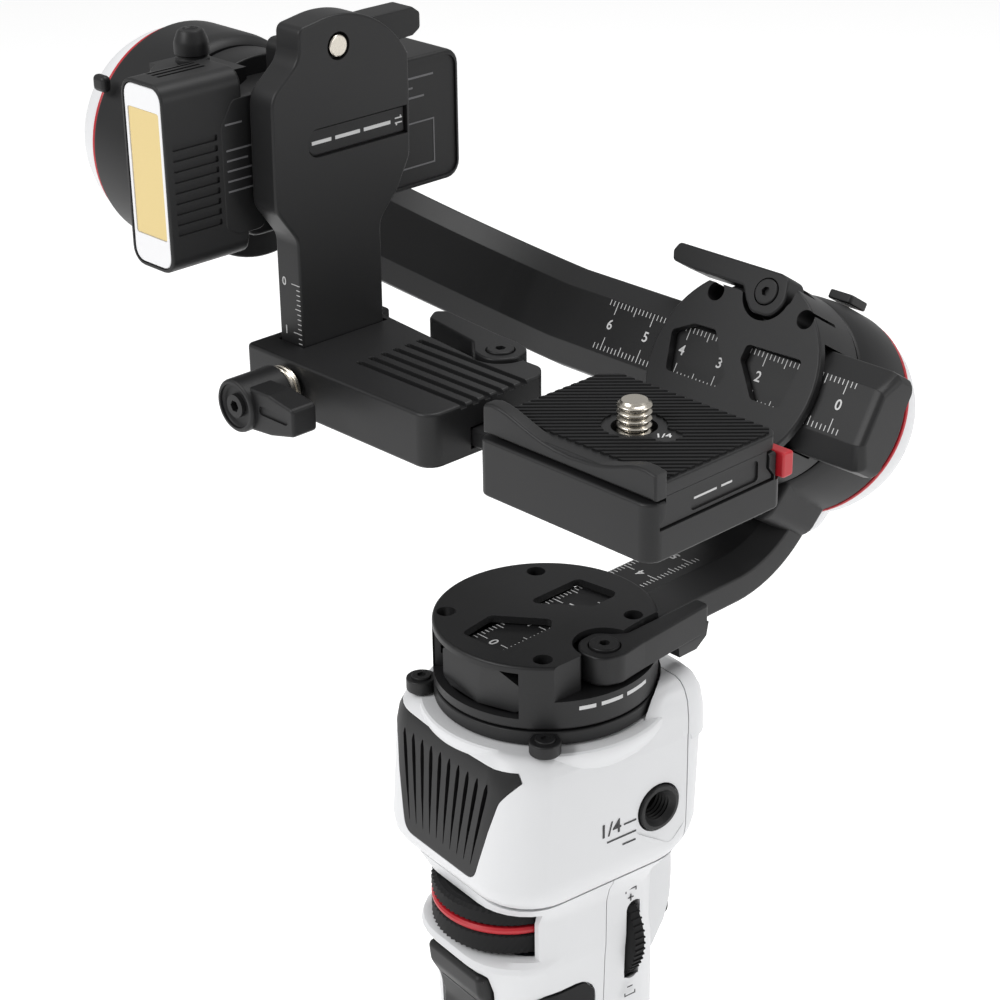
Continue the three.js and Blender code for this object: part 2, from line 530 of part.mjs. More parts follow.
// ---------- sliding plate: y and z from the tilt axis ----------
const PLATE_LOW = BASE_Z[0] - TILT_Z + 0.4;
function tiltPlate() {
  const head = new THREE.Shape();
  head.moveTo(-11.4, PLATE_LOW);
  head.lineTo(9.4, PLATE_LOW);
  head.lineTo(9.6, -10);
  head.lineTo(15.6, -3.6);
  head.lineTo(16, 18);
  head.absarc(0, 12, 20.6, 0.36, 1.72);
  head.lineTo(-8.8, 31.4);
  head.lineTo(-9, 25.4);
  head.lineTo(-16, 19.6);
  head.lineTo(-16.4, -2);
  head.lineTo(-11.6, -9);
  const plate = cut(
    prismX(head, ...PLATE_X, 10),
    rodX(2.6, PLATE_X[1] - 2, -50, 0.6, 26.6, 28),
    prismX(roundRect(-7.6, 18, 6.4, 12, 1.6), PLATE_X[1] - 0.7, -50, 4),
  );
  place("tilt_plate", plate, ANODISED, inTilt);
  place("tilt_stop_pin", rodX(2.2, PLATE_X[1] - 1.7, PLATE_X[1] + 0.1, 0.6, 26.6, 28), STEEL, inTilt);
}

// ---------- camera platform ----------
const RAIL_Z = [212.6, 216.2];
function platform() {
  const outline = polygon([
    [-65.6, -16.9], [-12.8, -16.9], [-12.8, 12], [-15.8, 15], [-41, 15], [-43.4, 12.2], [-54, 15.4], [-65.6, 15.6],
  ]);
  const grooves = Array.from({ length: 6 }, (_, i) =>
    prismZ(roundRect(-42.6, -10, -8.6 + i * 3.1, -7.2 + i * 3.1, 0.6), BASE_Z[1] - 0.9, 230, 2),
  );
  const body = cut(
    prismZ(outline, ...BASE_Z),
    box(PLATE_X[0] - GAP, PLATE_X[1] + GAP, -10.6 - GAP + TILT_Y - 0.8, 10.4 + GAP, 200, 230),
    box(-51, -10, -6 - GAP, 6 + GAP, RAIL_Z[0] - GAP, RAIL_Z[1] + GAP), // rail channel
    rodZ(5.9, 216.8, 230, -26.4, 14.4, 28), // lever's boss
    prismZ(polygon([[-20, 30], [-26.4, 8.7], [-60, 12.4], [-60, 30]]), 216.8, 230),
    rodY(2.6, -30, -12.4, -52.4, 216.4, 24), // knob's bolt
    ...grooves,
  );
  place("platform", join(body, rodZ(1.7, 216.4, 222.6, -26.4, 14.4, 20)), ANODISED);
  const knob = join(
    rodY(5.3, -30.6, -20.2, -52.4, 216.4, 32),
    prismY(polygon([[-52.4, 220.8], [-36.4, 219.6], [-36.4, 214.2], [-52.4, 211.4]]), -29.4, -23.4),
    rodY(2.2, -20.4, -12.8, -52.4, 216.4, 24),
  );
  place("height_knob", knob, BLACK);
  place("height_washer", cut(rodY(4.6, -19.9, -17.75, -52.4, 216.4, 32), rodY(2.5, -30, 0, -52.4, 216.4, 24)), STEEL);
  const lever = cut(
    join(
      rodZ(5.3, 217.2, 222.4, -26.4, 14.4, 28),
      prismZ(polygon([[-26.4, 19.6], [-26.4, 12.6], [-33, 13.4], [-48.6, 16.6], [-51.4, 21.4], [-33, 20]]), 217.2, 222.4),
    ),
    rodZ(2.1, 200, 240, -26.4, 14.4, 20),
  );
  place("platform_lever", lever, BLACK);
}

// ---------- quick release ----------
const BUTTON_X = 37.4; // inner end of the release button at rest
const BUTTON_PRESS = 1.5; // its travel
const DOVETAIL = { z: 217.3, low: [-14.2, 14.4], high: [-12.8, 13] };
function quickRelease() {
  const [cx, cy] = SCREW_XY;
  const jaw = 222.2; // top of the jaws that hold the plate
  const channel = polygon([
    [DOVETAIL.high[0] - GAP, jaw + 1],
    [DOVETAIL.high[0] - GAP, 219.6],
    [DOVETAIL.low[0] - GAP, DOVETAIL.z + 0.6],
    [DOVETAIL.low[0] - GAP, DOVETAIL.z - GAP],
    [DOVETAIL.low[1] + GAP, DOVETAIL.z - GAP],
    [DOVETAIL.low[1] + GAP, DOVETAIL.z + 0.6],
    [DOVETAIL.high[1] + GAP, 219.6],
    [DOVETAIL.high[1] + GAP, jaw + 1],
  ]);
  const base = cut(
    box(0.2, 42.4, -17, 17.2, 211, jaw),
    prismX(channel, -10, 60),
    box(BUTTON_X - BUTTON_PRESS - GAP, 60, 15.1, 20, 216.8, 230), // release button
  );
  place("quick_release_base", join(base, box(-36, 2, -6, 6, ...RAIL_Z)), ANODISED);
  place("release_button", box(BUTTON_X, 43.8, 15.5, 18.3, 217.2, 222), RED);
  const plan = polygon([[0.6, -15.4], [42, -15.4], [42, 14.6], [40.4, 16.6], [3.6, 16.6], [0.6, 13.6]]);
  const foot = prismX(
    polygon([
      [DOVETAIL.low[0], DOVETAIL.z],
      [DOVETAIL.low[1], DOVETAIL.z],
      [DOVETAIL.low[1], DOVETAIL.z + 0.6],
      [DOVETAIL.high[1], 219.6],
      [DOVETAIL.high[1], 222.8],
      [DOVETAIL.high[0], 222.8],
      [DOVETAIL.high[0], 219.6],
      [DOVETAIL.low[0], DOVETAIL.z + 0.6],
    ]),
    2,
    42,
  );
  const lipEdge = new THREE.Shape();
  lipEdge.moveTo(0.4, 222.7);
  lipEdge.lineTo(42.2, 222.7);
  lipEdge.lineTo(42.2, 227.6);
  lipEdge.bezierCurveTo(35, 229.4, 35, 225, 22, 224.8);
  lipEdge.bezierCurveTo(12, 224.8, 8, 228.8, 2.6, 228.7);
  lipEdge.lineTo(0.4, 227.6);
  const plate = cut(
    join(prismZ(plan, 222.6, QR_TOP), foot, prismY(lipEdge, -15.8, -12.6, 8)),
    rodZ(4.2, 200, 240, cx, cy, 32),
  );
  place("quick_release_plate", plate, ANODISED);
  const thread = [[0, 218.6], [3.9, 218.6], [3.9, 221], [2.4, 221], [2.4, 222.6]];
  for (let z = 222.6; z < 229.8; z += 1.27) thread.push([2.55, z + 0.1], [3.17, z + 0.5], [3.17, z + 0.77], [2.55, z + 1.17]);
  thread.push([2.55, 230.4], [2.2, 230.6], [0, 230.6]);
  const screw = new THREE.LatheGeometry(thread.map(([r, z]) => new THREE.Vector2(r, z)), 16);
  place("camera_screw", screw.rotateX(Math.PI / 2).translate(cx, cy, 0), STEEL);
}

gripShells();
headShells();
ventGrille();
controls();
gripFittings();
panMotor();
panRotor();
panArm();
rollMotor();
rollRotor();
rollArm();
tiltMotor();
tiltRotor();
fillLight();
tiltPlate();
platform();
quickRelease();

export default gimbal;
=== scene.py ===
import json
import math

import bmesh
import bpy
from bpy.props import FloatProperty, FloatVectorProperty, IntProperty, PointerProperty
from mathutils import Matrix, Vector

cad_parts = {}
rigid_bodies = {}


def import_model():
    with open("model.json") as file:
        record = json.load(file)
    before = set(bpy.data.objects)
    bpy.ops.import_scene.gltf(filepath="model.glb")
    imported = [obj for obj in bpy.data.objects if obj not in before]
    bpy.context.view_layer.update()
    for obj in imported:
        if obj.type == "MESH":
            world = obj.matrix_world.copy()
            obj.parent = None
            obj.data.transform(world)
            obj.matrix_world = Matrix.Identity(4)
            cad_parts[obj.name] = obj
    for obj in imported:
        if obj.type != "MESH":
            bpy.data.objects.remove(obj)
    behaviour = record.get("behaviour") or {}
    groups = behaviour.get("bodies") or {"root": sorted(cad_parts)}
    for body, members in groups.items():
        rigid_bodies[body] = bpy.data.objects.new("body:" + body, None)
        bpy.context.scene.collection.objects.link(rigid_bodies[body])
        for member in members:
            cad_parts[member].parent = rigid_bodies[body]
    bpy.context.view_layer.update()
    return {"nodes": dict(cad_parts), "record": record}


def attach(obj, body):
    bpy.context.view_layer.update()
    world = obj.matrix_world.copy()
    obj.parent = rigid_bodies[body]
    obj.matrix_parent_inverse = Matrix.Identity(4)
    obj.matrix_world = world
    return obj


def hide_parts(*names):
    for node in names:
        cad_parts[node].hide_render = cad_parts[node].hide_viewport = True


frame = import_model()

bl_info = {
    "name": "Camera gimbal",
    "version": (1, 0, 0),
    "blender": (4, 5, 0),
    "location": "3D View > Sidebar > Gimbal",
    "description": "Builds the finished pieces of a handheld camera gimbal round its packed frame",
    "category": "Object",
}

MM = 0.001
SMOOTH = math.radians(32)
CREASE = math.radians(34)

# Where the three tilted groups of the design sit, in millimetres.
PAN = Matrix.Identity(4)
HEAD = Matrix.Rotation(math.radians(-7), 4, "Z")
ROLL = Matrix.Translation((1, 52.1, 214.4)) @ Matrix.Rotation(math.radians(57.5), 4, "X")
TILT = Matrix.Translation((0, 0.8, 252.5))


# ---------- outlines ----------
def rounded(points, radius, steps=5):
    """A polygon with every corner rounded. radius is one number, or one for each corner."""
    count = len(points)
    radii = radius if hasattr(radius, "__len__") else [radius] * count
    out = []
    for i, corner in enumerate(points):
        p = Vector(corner)
        to_last, to_next = Vector(points[i - 1]) - p, Vector(points[(i + 1) % count]) - p
        u, v = to_last.normalized(), to_next.normalized()
        angle = u.angle(v)
        if radii[i] <= 0 or angle > math.pi - 0.03:
            out.append(p)
            continue
        reach = min(radii[i] / math.tan(angle / 2), 0.48 * to_last.length, 0.48 * to_next.length)
        centre = p + (u + v).normalized() * (reach / math.cos(angle / 2))
        start, end = p + u * reach - centre, p + v * reach - centre
        sweep = start.angle_signed(end)
        for k in range(steps + 1):
            turn = -sweep * k / steps
            c, s = math.cos(turn), math.sin(turn)
            out.append(centre + Vector((start.x * c - start.y * s, start.x * s + start.y * c)))
    return out


def box_outline(x0, x1, y0, y1, radius=0.0, steps=5):
    return rounded([(x0, y0), (x1, y0), (x1, y1), (x0, y1)], radius, steps)


def circle(radius, x=0.0, y=0.0, sides=64, start=0.0):
    return [
        Vector((
            x + radius * math.cos(start + 2 * math.pi * k / sides),
            y + radius * math.sin(start + 2 * math.pi * k / sides),
        ))
        for k in range(sides)
    ]


def curve(a, b, c, d, steps=8):
    """Points on a cubic curve from a to d."""
    out = []
    for k in range(steps + 1):
        t = k / steps
        u = 1 - t
        out.append(tuple(
            u**3 * a[i] + 3 * u * u * t * b[i] + 3 * u * t * t * c[i] + t**3 * d[i]
            for i in (0, 1)
        ))
    return out


def offset(outline, amount):
    """The outline moved in by amount, which is out when it is negative."""
    count = len(outline)
    area = sum(outline[i - 1].x * outline[i].y - outline[i].x * outline[i - 1].y for i in range(count))
    side = 1 if area > 0 else -1
    out = []
    for i, p in enumerate(outline):
        a, b = (p - outline[i - 1]), (outline[(i + 1) % count] - p)
        if a.length < 1e-6 or b.length < 1e-6:
            out.append(p.copy())
            continue
        a.normalize()
        b.normalize()
        normal = Vector((-(a.y + b.y), a.x + b.x))
        if normal.length < 1e-6:
            out.append(p.copy())
            continue
        normal.normalize()
        lean = max(0.4, normal.dot(Vector((-a.y, a.x))))
        out.append(p + normal * (side * amount / lean))
    return out


def seat(point, height, axis):
    """An outline's point, lifted along an axis."""
    x, y = point
    return {"Z": (x, y, height), "X": (height, x, y), "Y": (x, height, y)}[axis]


# ---------- solids, as lists of corners and faces in millimetres ----------
def skin(rings):
    """A closed skin through rings of equal length."""
    n = len(rings[0])
    corners = [tuple(p) for ring in rings for p in ring]
    faces = [
        (k * n + i, k * n + (i + 1) % n, (k + 1) * n + (i + 1) % n, (k + 1) * n + i)
        for k in range(len(rings) - 1)
        for i in range(n)
    ]
    faces += [tuple(range(n))[::-1], tuple(range((len(rings) - 1) * n, len(rings) * n))]
    return corners, faces


def slab(outline, low, high, axis="Z", fillet=0.5, steps=3, low_fillet=None):
    """An outline with thickness and rounded rims."""
    outline = [Vector(p) for p in outline]
    under = fillet if low_fillet is None else low_fillet
    rings = []
    for k in range(steps + 1 if under > 0 else 1):
        turn = math.pi / 2 * k / steps if under > 0 else math.pi / 2
        ring = offset(outline, under * (1 - math.sin(turn)))
        rings.append([seat(p, low + under * (1 - math.cos(turn)), axis) for p in ring])
    for k in range(steps + 1 if fillet > 0 else 1):
        turn = math.pi / 2 * k / steps if fillet > 0 else 0
        ring = offset(outline, fillet * (1 - math.cos(turn)))
        rings.append([seat(p, high - fillet * (1 - math.sin(turn)), axis) for p in ring])
    return skin(rings)


def lathe(profile, axis="Z", x=0.0, y=0.0, sides=72):
    """A profile of (radius, height) pairs turned round an axis, with flat ends."""
    return skin([[seat(p, h, axis) for p in circle(max(r, 0.01), x, y, sides)] for r, h in profile])


def rod(radius, low, high, axis="Z", x=0.0, y=0.0, rim=0.3, sides=48):
    rim = min(rim, radius * 0.6, (high - low) * 0.45)
    bend = [
        (radius - rim * (1 - math.sin(t)), rim * (1 - math.cos(t)))
        for t in (0, 0.5, 1.05, math.pi / 2)
    ] if rim > 0 else [(radius, 0)]
    profile = [(r, low + h) for r, h in bend] + [(r, high - h) for r, h in reversed(bend)]
    return lathe(profile, axis, x, y, sides)


def block(x0, x1, y0, y1, z0, z1):
    return skin([[(x0, y0, z), (x1, y0, z), (x1, y1, z), (x0, y1, z)] for z in (z0, z1)])


def plan(z, half, front, back, radius, inset=0.0, steps=8):
    ring = box_outline(
        -half + inset, half - inset, -front + inset, back - inset, max(radius - inset, 1), steps
    )
    return [(p.x, p.y, z) for p in ring]


def body_of_plans(plans, inset=0.0):
    return skin([plan(z, a, f, b, r, inset) for z, a, f, b, r in plans])


def moved(shape, matrix):
    return [tuple(matrix @ Vector(p)) for p in shape[0]], shape[1]


# ---------- meshes ----------
def mesh_of(name, shape, place):
    corners, faces = shape
    work = bmesh.new()
    made = [work.verts.new((place @ Vector(p)) * MM) for p in corners]
    for face in faces:
        try:
            work.faces.new([made[i] for i in face])
        except ValueError:
            continue
    bmesh.ops.remove_doubles(work, verts=work.verts, dist=2e-7)
    bmesh.ops.dissolve_degenerate(work, edges=work.edges, dist=1e-7)
    bmesh.ops.recalc_face_normals(work, faces=work.faces)
    mesh = bpy.data.meshes.new(name)
    work.to_mesh(mesh)
    work.free()
    return mesh


def new_object(name, mesh):
    thing = bpy.data.objects.new(name, mesh)
    bpy.context.scene.collection.objects.link(thing)
    return thing


def shade(thing, angle=SMOOTH):
    mesh = thing.data
    mesh.polygons.foreach_set("use_smooth", [True] * len(mesh.polygons))
    mesh.set_sharp_from_angle(angle=angle)


def settle(thing):
    """Applies the modifiers."""
    bpy.context.view_layer.update()
    evaluated = thing.evaluated_get(bpy.context.evaluated_depsgraph_get())
    mesh = bpy.data.meshes.new_from_object(evaluated)
    thing.modifiers.clear()
    thing.data = mesh
    return thing


def carve(name, adds, cuts=(), keep=(), place=PAN, bevel=0.0, segments=2, solver="MANIFOLD"):
    """One solid from shapes that are joined, then cut, then kept only inside others."""
    thing = new_object(name, mesh_of(name, adds[0], place))
    helpers = []
    for operation, shapes in (("UNION", adds[1:]), ("INTERSECT", keep), ("DIFFERENCE", cuts)):
        for shape in shapes:
            helper = new_object(name + "_tool", mesh_of(name + "_tool", shape, place))
            helpers.append(helper)
            step = thing.modifiers.new("shape", "BOOLEAN")
            step.operation, step.object, step.solver = operation, helper, solver
    if helpers:
        settle(thing)
    for helper in helpers:
        bpy.data.objects.remove(helper)
    if not thing.data.polygons:
        raise RuntimeError(f"{name} came out empty")
    if bevel:
        tidy_edges(thing)
        rim = thing.modifiers.new("edge", "BEVEL")
        rim.width, rim.segments, rim.limit_method, rim.angle_limit = bevel * MM, segments, "ANGLE", CREASE
        rim.use_clamp_overlap = True
        settle(thing)
    shade(thing)
    even = thing.modifiers.new("even shading", "WEIGHTED_NORMAL")
    even.keep_sharp, even.weight = True, 80
    return thing


def tidy_edges(thing):
    work = bmesh.new()
    work.from_mesh(thing.data)
    bmesh.ops.remove_doubles(work, verts=work.verts, dist=4e-6)
    bmesh.ops.dissolve_limit(work, angle_limit=math.radians(1), verts=work.verts, edges=work.edges)
    work.to_mesh(thing.data)
    work.free()


def together(name, things, angle=SMOOTH):
    """Several finished objects made into one."""
    work = bmesh.new()
    for thing in things:
        work.from_mesh(thing.data)
    mesh = bpy.data.meshes.new(name)
    work.to_mesh(mesh)
    work.free()
    for thing in things:
        bpy.data.objects.remove(thing)
    whole = new_object(name, mesh)
    shade(whole, angle)
    return whole


def fit(thing, body, slot, *nodes, material=None):
    """Puts a finished piece on its body, in its slot's finish or another, in place of frame nodes."""
    thing.data.materials.clear()
    thing.data.materials.append(material or finishes()[slot])
    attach(thing, body)
    if nodes:
        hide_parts(*nodes)
    return thing


# ---------- finishes ----------
def link_group(tree, group, values):
    node = tree.nodes.new("ShaderNodeGroup")
    node.node_tree = group
    for key, value in values.items():
        node.inputs[key].default_value = value
    return node


def grain_group():
    """Fine moulded or blasted grain: a speckled colour, a varied roughness and a height."""
    found = bpy.data.node_groups.get("Fine grain")
    if found:
        return found
    group = bpy.data.node_groups.new("Fine grain", "ShaderNodeTree")
    for name, kind, value in (
        ("Colour", "NodeSocketColor", (0.5, 0.5, 0.5, 1)),
        ("Speckle", "NodeSocketFloat", 0.1),
        ("Grain per metre", "NodeSocketFloat", 3000.0),
        ("Roughness", "NodeSocketFloat", 0.5),
        ("Roughness spread", "NodeSocketFloat", 0.08),
        ("Dust", "NodeSocketFloat", 0.0),
    ):
        socket = group.interface.new_socket(name, in_out="INPUT", socket_type=kind)
        socket.default_value = value
    for name, kind in (
        ("Colour", "NodeSocketColor"), ("Roughness", "NodeSocketFloat"), ("Height", "NodeSocketFloat"),
    ):
        group.interface.new_socket(name, in_out="OUTPUT", socket_type=kind)
    make, wire = group.nodes.new, group.links.new
    given, result = make("NodeGroupInput"), make("NodeGroupOutput")
    where = make("ShaderNodeTexCoord")
    fine, broad = make("ShaderNodeTexNoise"), make("ShaderNodeTexNoise")
    fine.inputs["Detail"].default_value, fine.inputs["Roughness"].default_value = 3.0, 0.62
    broad.inputs["Scale"].default_value, broad.inputs["Detail"].default_value = 60.0, 4.0
    wire(where.outputs["Object"], fine.inputs["Vector"])
    wire(where.outputs["Object"], broad.inputs["Vector"])
    wire(given.outputs["Grain per metre"], fine.inputs["Scale"])
    lean = make("ShaderNodeMath")
    lean.operation = "SUBTRACT"
    lean.inputs[1].default_value = 0.5
    wire(fine.outputs["Fac"], lean.inputs[0])
    weigh = make("ShaderNodeMath")
    weigh.operation = "MULTIPLY_ADD"
    weigh.inputs[2].default_value = 1.0
    wire(lean.outputs[0], weigh.inputs[0])
    wire(given.outputs["Speckle"], weigh.inputs[1])
    tint = make("ShaderNodeVectorMath")
    tint.operation = "SCALE"
    wire(given.outputs["Colour"], tint.inputs[0])
    wire(weigh.outputs[0], tint.inputs["Scale"])
    film = make("ShaderNodeMath")
    film.operation = "MULTIPLY"
    wire(broad.outputs["Fac"], film.inputs[0])
    wire(given.outputs["Dust"], film.inputs[1])
    dusted = make("ShaderNodeMix")
    dusted.data_type = "RGBA"
    dusted.inputs["B"].default_value = (0.34, 0.33, 0.32, 1)
    wire(film.outputs[0], dusted.inputs["Factor"])
    wire(tint.outputs[0], dusted.inputs["A"])
    wire(dusted.outputs["Result"], result.inputs["Colour"])
    spread = make("ShaderNodeMath")
    spread.operation = "SUBTRACT"
    spread.inputs[1].default_value = 0.5
    wire(broad.outputs["Fac"], spread.inputs[0])
    rough = make("ShaderNodeMath")
    rough.operation = "MULTIPLY_ADD"
    wire(spread.outputs[0], rough.inputs[0])
    wire(given.outputs["Roughness spread"], rough.inputs[1])
    wire(given.outputs["Roughness"], rough.inputs[2])
    wire(rough.outputs[0], result.inputs["Roughness"])
    wire(fine.outputs["Fac"], result.inputs["Height"])
    return group


def finish(
    name, colour, roughness, speckle=0.1, grain=3000.0, bump=0.15, depth=0.00002, spread=0.08,
    dust=0.0, metallic=0.0, coat=0.0, glow=0.0, turned=0.0, shine=0.5,
):
    """A material with fine grain, and turning marks if turned is above 0."""
    found = bpy.data.materials.get(name)
    if found:
        return found
    material = bpy.data.materials.new(name)
    material.use_nodes = True
    tree = material.node_tree
    shader = tree.nodes["Principled BSDF"]
    values = {
        "Colour": (*colour, 1), "Speckle": speckle, "Grain per metre": grain,
        "Roughness": roughness, "Roughness spread": spread, "Dust": dust,
    }
    grained = link_group(tree, grain_group(), values)
    tree.links.new(grained.outputs["Colour"], shader.inputs["Base Color"])
    tree.links.new(grained.outputs["Roughness"], shader.inputs["Roughness"])
    bumps = tree.nodes.new("ShaderNodeBump")
    bumps.inputs["Strength"].default_value = bump
    bumps.inputs["Distance"].default_value = depth
    tree.links.new(grained.outputs["Height"], bumps.inputs["Height"])
    tree.links.new(bumps.outputs["Normal"], shader.inputs["Normal"])
    shader.inputs["Metallic"].default_value = metallic
    shader.inputs["Coat Weight"].default_value = coat
    shader.inputs["Specular IOR Level"].default_value = shine
    if glow:
        shader.inputs["Emission Color"].default_value = (*colour, 1)
        shader.inputs["Emission Strength"].default_value = glow
    if turned:
        where, wave = tree.nodes.new("ShaderNodeTexCoord"), tree.nodes.new("ShaderNodeTexWave")
        wave.wave_type, wave.rings_direction = "RINGS", "SPHERICAL"
        wave.inputs["Scale"].default_value, wave.inputs["Distortion"].default_value = 1500.0, 0.6
        marks = tree.nodes.new("ShaderNodeBump")
        marks.inputs["Strength"].default_value, marks.inputs["Distance"].default_value = turned, 0.00002
        tree.links.new(where.outputs["Object"], wave.inputs["Vector"])
        tree.links.new(wave.outputs["Fac"], marks.inputs["Height"])
        tree.links.new(bumps.outputs["Normal"], marks.inputs["Normal"])
        tree.links.new(marks.outputs["Normal"], shader.inputs["Normal"])
    return material


def finishes():
    look = bpy.context.scene.gimbal_finish
    return {
        "white_shell": finish(
            "white satin plastic", look.white, 0.42, speckle=0.02, grain=5200, bump=0.08, spread=0.05
        ),
        "black_plastic": finish(
            "black grained plastic", look.black_plastic, 0.46, speckle=0.35, grain=3600, bump=0.3,
            spread=0.1, shine=0.3,
        ),
        "black_anodised": finish(
            "black blasted anodising", look.black_metal, 0.44, speckle=0.5, grain=4300, bump=0.28,
            spread=0.1, shine=0.3,
        ),
        "soft_rubber": finish(
            "soft rubber", look.rubber, 0.66, speckle=0.3, grain=3000, bump=0.25, shine=0.22
        ),
        "red_trim": finish("red plastic", look.red, 0.38, speckle=0.08, bump=0.1),
        "bare_steel": finish(
            "turned steel", (0.62, 0.58, 0.51), 0.26, speckle=0.1, bump=0.05, metallic=1.0, turned=0.35
        ),
        "light_frame_grey": finish("pale frame plastic", (0.72, 0.72, 0.73), 0.4, speckle=0.03, bump=0.05),
        "warm_light": finish("frosted warm panel", look.amber, 0.55, speckle=0.05, bump=0.05, glow=0.1),
        "display": finish(
            "display glass", (0.008, 0.009, 0.012), 0.08, speckle=0.0, bump=0.0, spread=0.02, coat=0.6
        ),
        "circuit_board": finish("green board", (0.01, 0.09, 0.04), 0.45, speckle=0.2),
        "battery": finish("cell sleeve", (0.05, 0.12, 0.32), 0.4, speckle=0.1),
        "brass": finish("turned brass", (0.6, 0.4, 0.16), 0.3, speckle=0.1, metallic=1.0, turned=0.3),
        "print_white": finish("white print", (0.55, 0.55, 0.55), 0.6, speckle=0.15, bump=0.0),
        "print_grey": finish("laser mark", (0.12, 0.12, 0.125), 0.6, speckle=0.2, bump=0.0),
        "print_black": finish("black print", (0.02, 0.02, 0.022), 0.5, speckle=0.1, bump=0.0),
        "socket_black": finish("deep black", (0.006, 0.006, 0.007), 0.6, speckle=0.1),
    }


# ---------- printed marks: bars and numerals just above a face at z = 0 ----------
def marks(name, bars, numerals, place, body, material, slot):
    """bars are (x0, x1, y0, y1); numerals are (text, x, y, size, turn)."""
    work = bmesh.new()
    for x0, x1, y0, y1 in bars:
        corners, faces = block(x0, x1, y0, y1, -0.02, 0.035)
        made = [work.verts.new((place @ Vector(p)) * MM) for p in corners]
        for face in faces:
            work.faces.new([made[i] for i in face])
    for text, x, y, size, turn in numerals:
        digits = bpy.data.curves.new(name + "_numeral", "FONT")
        digits.body, digits.size, digits.extrude = text, size * MM, 0.03 * MM
        digits.align_x, digits.align_y, digits.resolution_u = "CENTER", "CENTER", 4
        digits.offset = 0.035 * MM
        writing = new_object(name + "_numeral", digits)
        bpy.context.view_layer.update()
        mesh = bpy.data.meshes.new_from_object(writing.evaluated_get(bpy.context.evaluated_depsgraph_get()))
        spot = place.copy()
        spot.translation = spot.translation * MM
        mesh.transform(spot @ Matrix.Translation((x * MM, y * MM, 0)) @ Matrix.Rotation(
            math.radians(turn), 4, "Z"
        ))
        work.from_mesh(mesh)
        bpy.data.objects.remove(writing)
        bpy.data.meshes.remove(mesh)
    bmesh.ops.recalc_face_normals(work, faces=work.faces)
    mesh = bpy.data.meshes.new(name)
    work.to_mesh(mesh)
    work.free()
    return fit(new_object(name, mesh), body, slot, material=material)


def scale_bars(start, step, count, half, first=-2, last=2, width=0.17):
    """Millimetre ticks along x on both rims of a scale, from a zero mark, each centimetre long."""
    bars = []
    for i in range(first, 10 * count + last + 1):
        x = start + step * i
        length = 2.8 if i % 10 == 0 else 1.9 if i % 5 == 0 else 1.15
        for side in (-1, 1):
            bars.append((x - width / 2, x + width / 2, *sorted((side * half, side * (half - length)))))
    return bars


# ---------- user values ----------
def colour(name, description, default):
    return FloatVectorProperty(
        name=name, description=description, subtype="COLOR", size=3, min=0, max=1, default=default
    )


class GimbalFinish(bpy.types.PropertyGroup):
    white: colour("White shell", "Colour of the grip, head and motor caps", (0.65, 0.655, 0.665))
    black_plastic: colour("Black plastic", "Colour of the motor housings and levers", (0.0105, 0.0105, 0.011))
    black_metal: colour("Black metal", "Colour of the anodised arms and plates", (0.0125, 0.0125, 0.013))
    rubber: colour("Rubber", "Colour of the wheels and grip pads", (0.008, 0.008, 0.0085))
    red: colour("Red", "Colour of the wheel line, seal rings and release button", (0.42, 0.01, 0.018))
    amber: colour("Light panel", "Colour of the fill light's diffuser", (0.60, 0.47, 0.21))


class GimbalSizes(bpy.types.PropertyGroup):
    knurls: IntProperty(
        name="Wheel knurls", description="Knurls round the control wheel", default=72, min=24, max=160
    )
    dial_teeth: IntProperty(
        name="Dial teeth", description="Teeth round the side dial", default=56, min=20, max=120
    )
    rib_pitch: FloatProperty(
        name="Rib pitch", description="Distance between the camera plate's ribs, in millimetres",
        default=1.45, min=0.8, max=4,
    )
    rib_height: FloatProperty(
        name="Rib height", description="Height of the camera plate's ribs, in millimetres", default=0.45,
        min=0.1, max=1,
    )
    fins: IntProperty(name="Vent fins", description="Fins in the head's vent", default=9, min=3, max=15)


# ---------- head and grip ----------
GRIP_PLANS = [
    (0.6, 13.2, 15.2, 14.8, 8.6), (1.4, 14.6, 16.6, 16.2, 9), (4, 16.4, 18.4, 17.9, 10),
    (40, 16.7, 18.8, 18.2, 10), (70, 16.8, 19.0, 18.4, 10), (98, 17.0, 19.8, 18.6, 10),
    (107, 17.3, 20.8, 18.7, 11), (111, 17.5, 22.4, 18.8, 12.4), (112.8, 17.7, 23.9, 18.8, 13),
    (113.9, 17.8, 24.5, 18.8, 13), (115, 17.8, 24.0, 18.8, 13), (115.9, 17.8, 22.2, 18.8, 13),
    (124, 17.9, 21.4, 19, 13), (127.2, 18.7, 21.8, 20, 12), (129, 19.7, 22.3, 21, 10.6),
    (130.05, 20.2, 22.6, 21.6, 9.8),
]
HEAD_PLANS = [
    (130.4, 20.2, 22.4, 21.6, 10.4), (131.2, 20.8, 23.2, 22.4, 10.4), (132.8, 21.4, 24.8, 23.4, 10.2),
    (134.6, 21.8, 25.8, 24.2, 10), (136.8, 22, 26.0, 24.7, 9.8), (146, 22, 25.2, 25, 9.4),
    (157, 22, 24.1, 25.2, 9), (159.6, 21.8, 23.6, 25, 9), (161.4, 21.2, 22.9, 24.4, 8.8),
    (162.6, 20.4, 22.1, 23.6, 8.6), (163.2, 19.6, 21.4, 23, 8.4), (163.5, 18.8, 20.6, 22.2, 8),
]
WHEEL_Y = -9.3
STICK_Z = 119
PORT_Y, PORT_Z = 10.4, 143.8
VENT = [
    (-11, 136.4), (11, 136.4), (16.2, 155.2), (20.6, 161.4), (14, 161.0), (0, 160.4), (-14, 161.0),
    (-20.6, 161.4), (-16.2, 155.2),
]
LUGS = [(23.8 * math.cos(math.radians(a + 7)), 23.8 * math.sin(math.radians(a + 7))) for a in (90, 225, 315)]


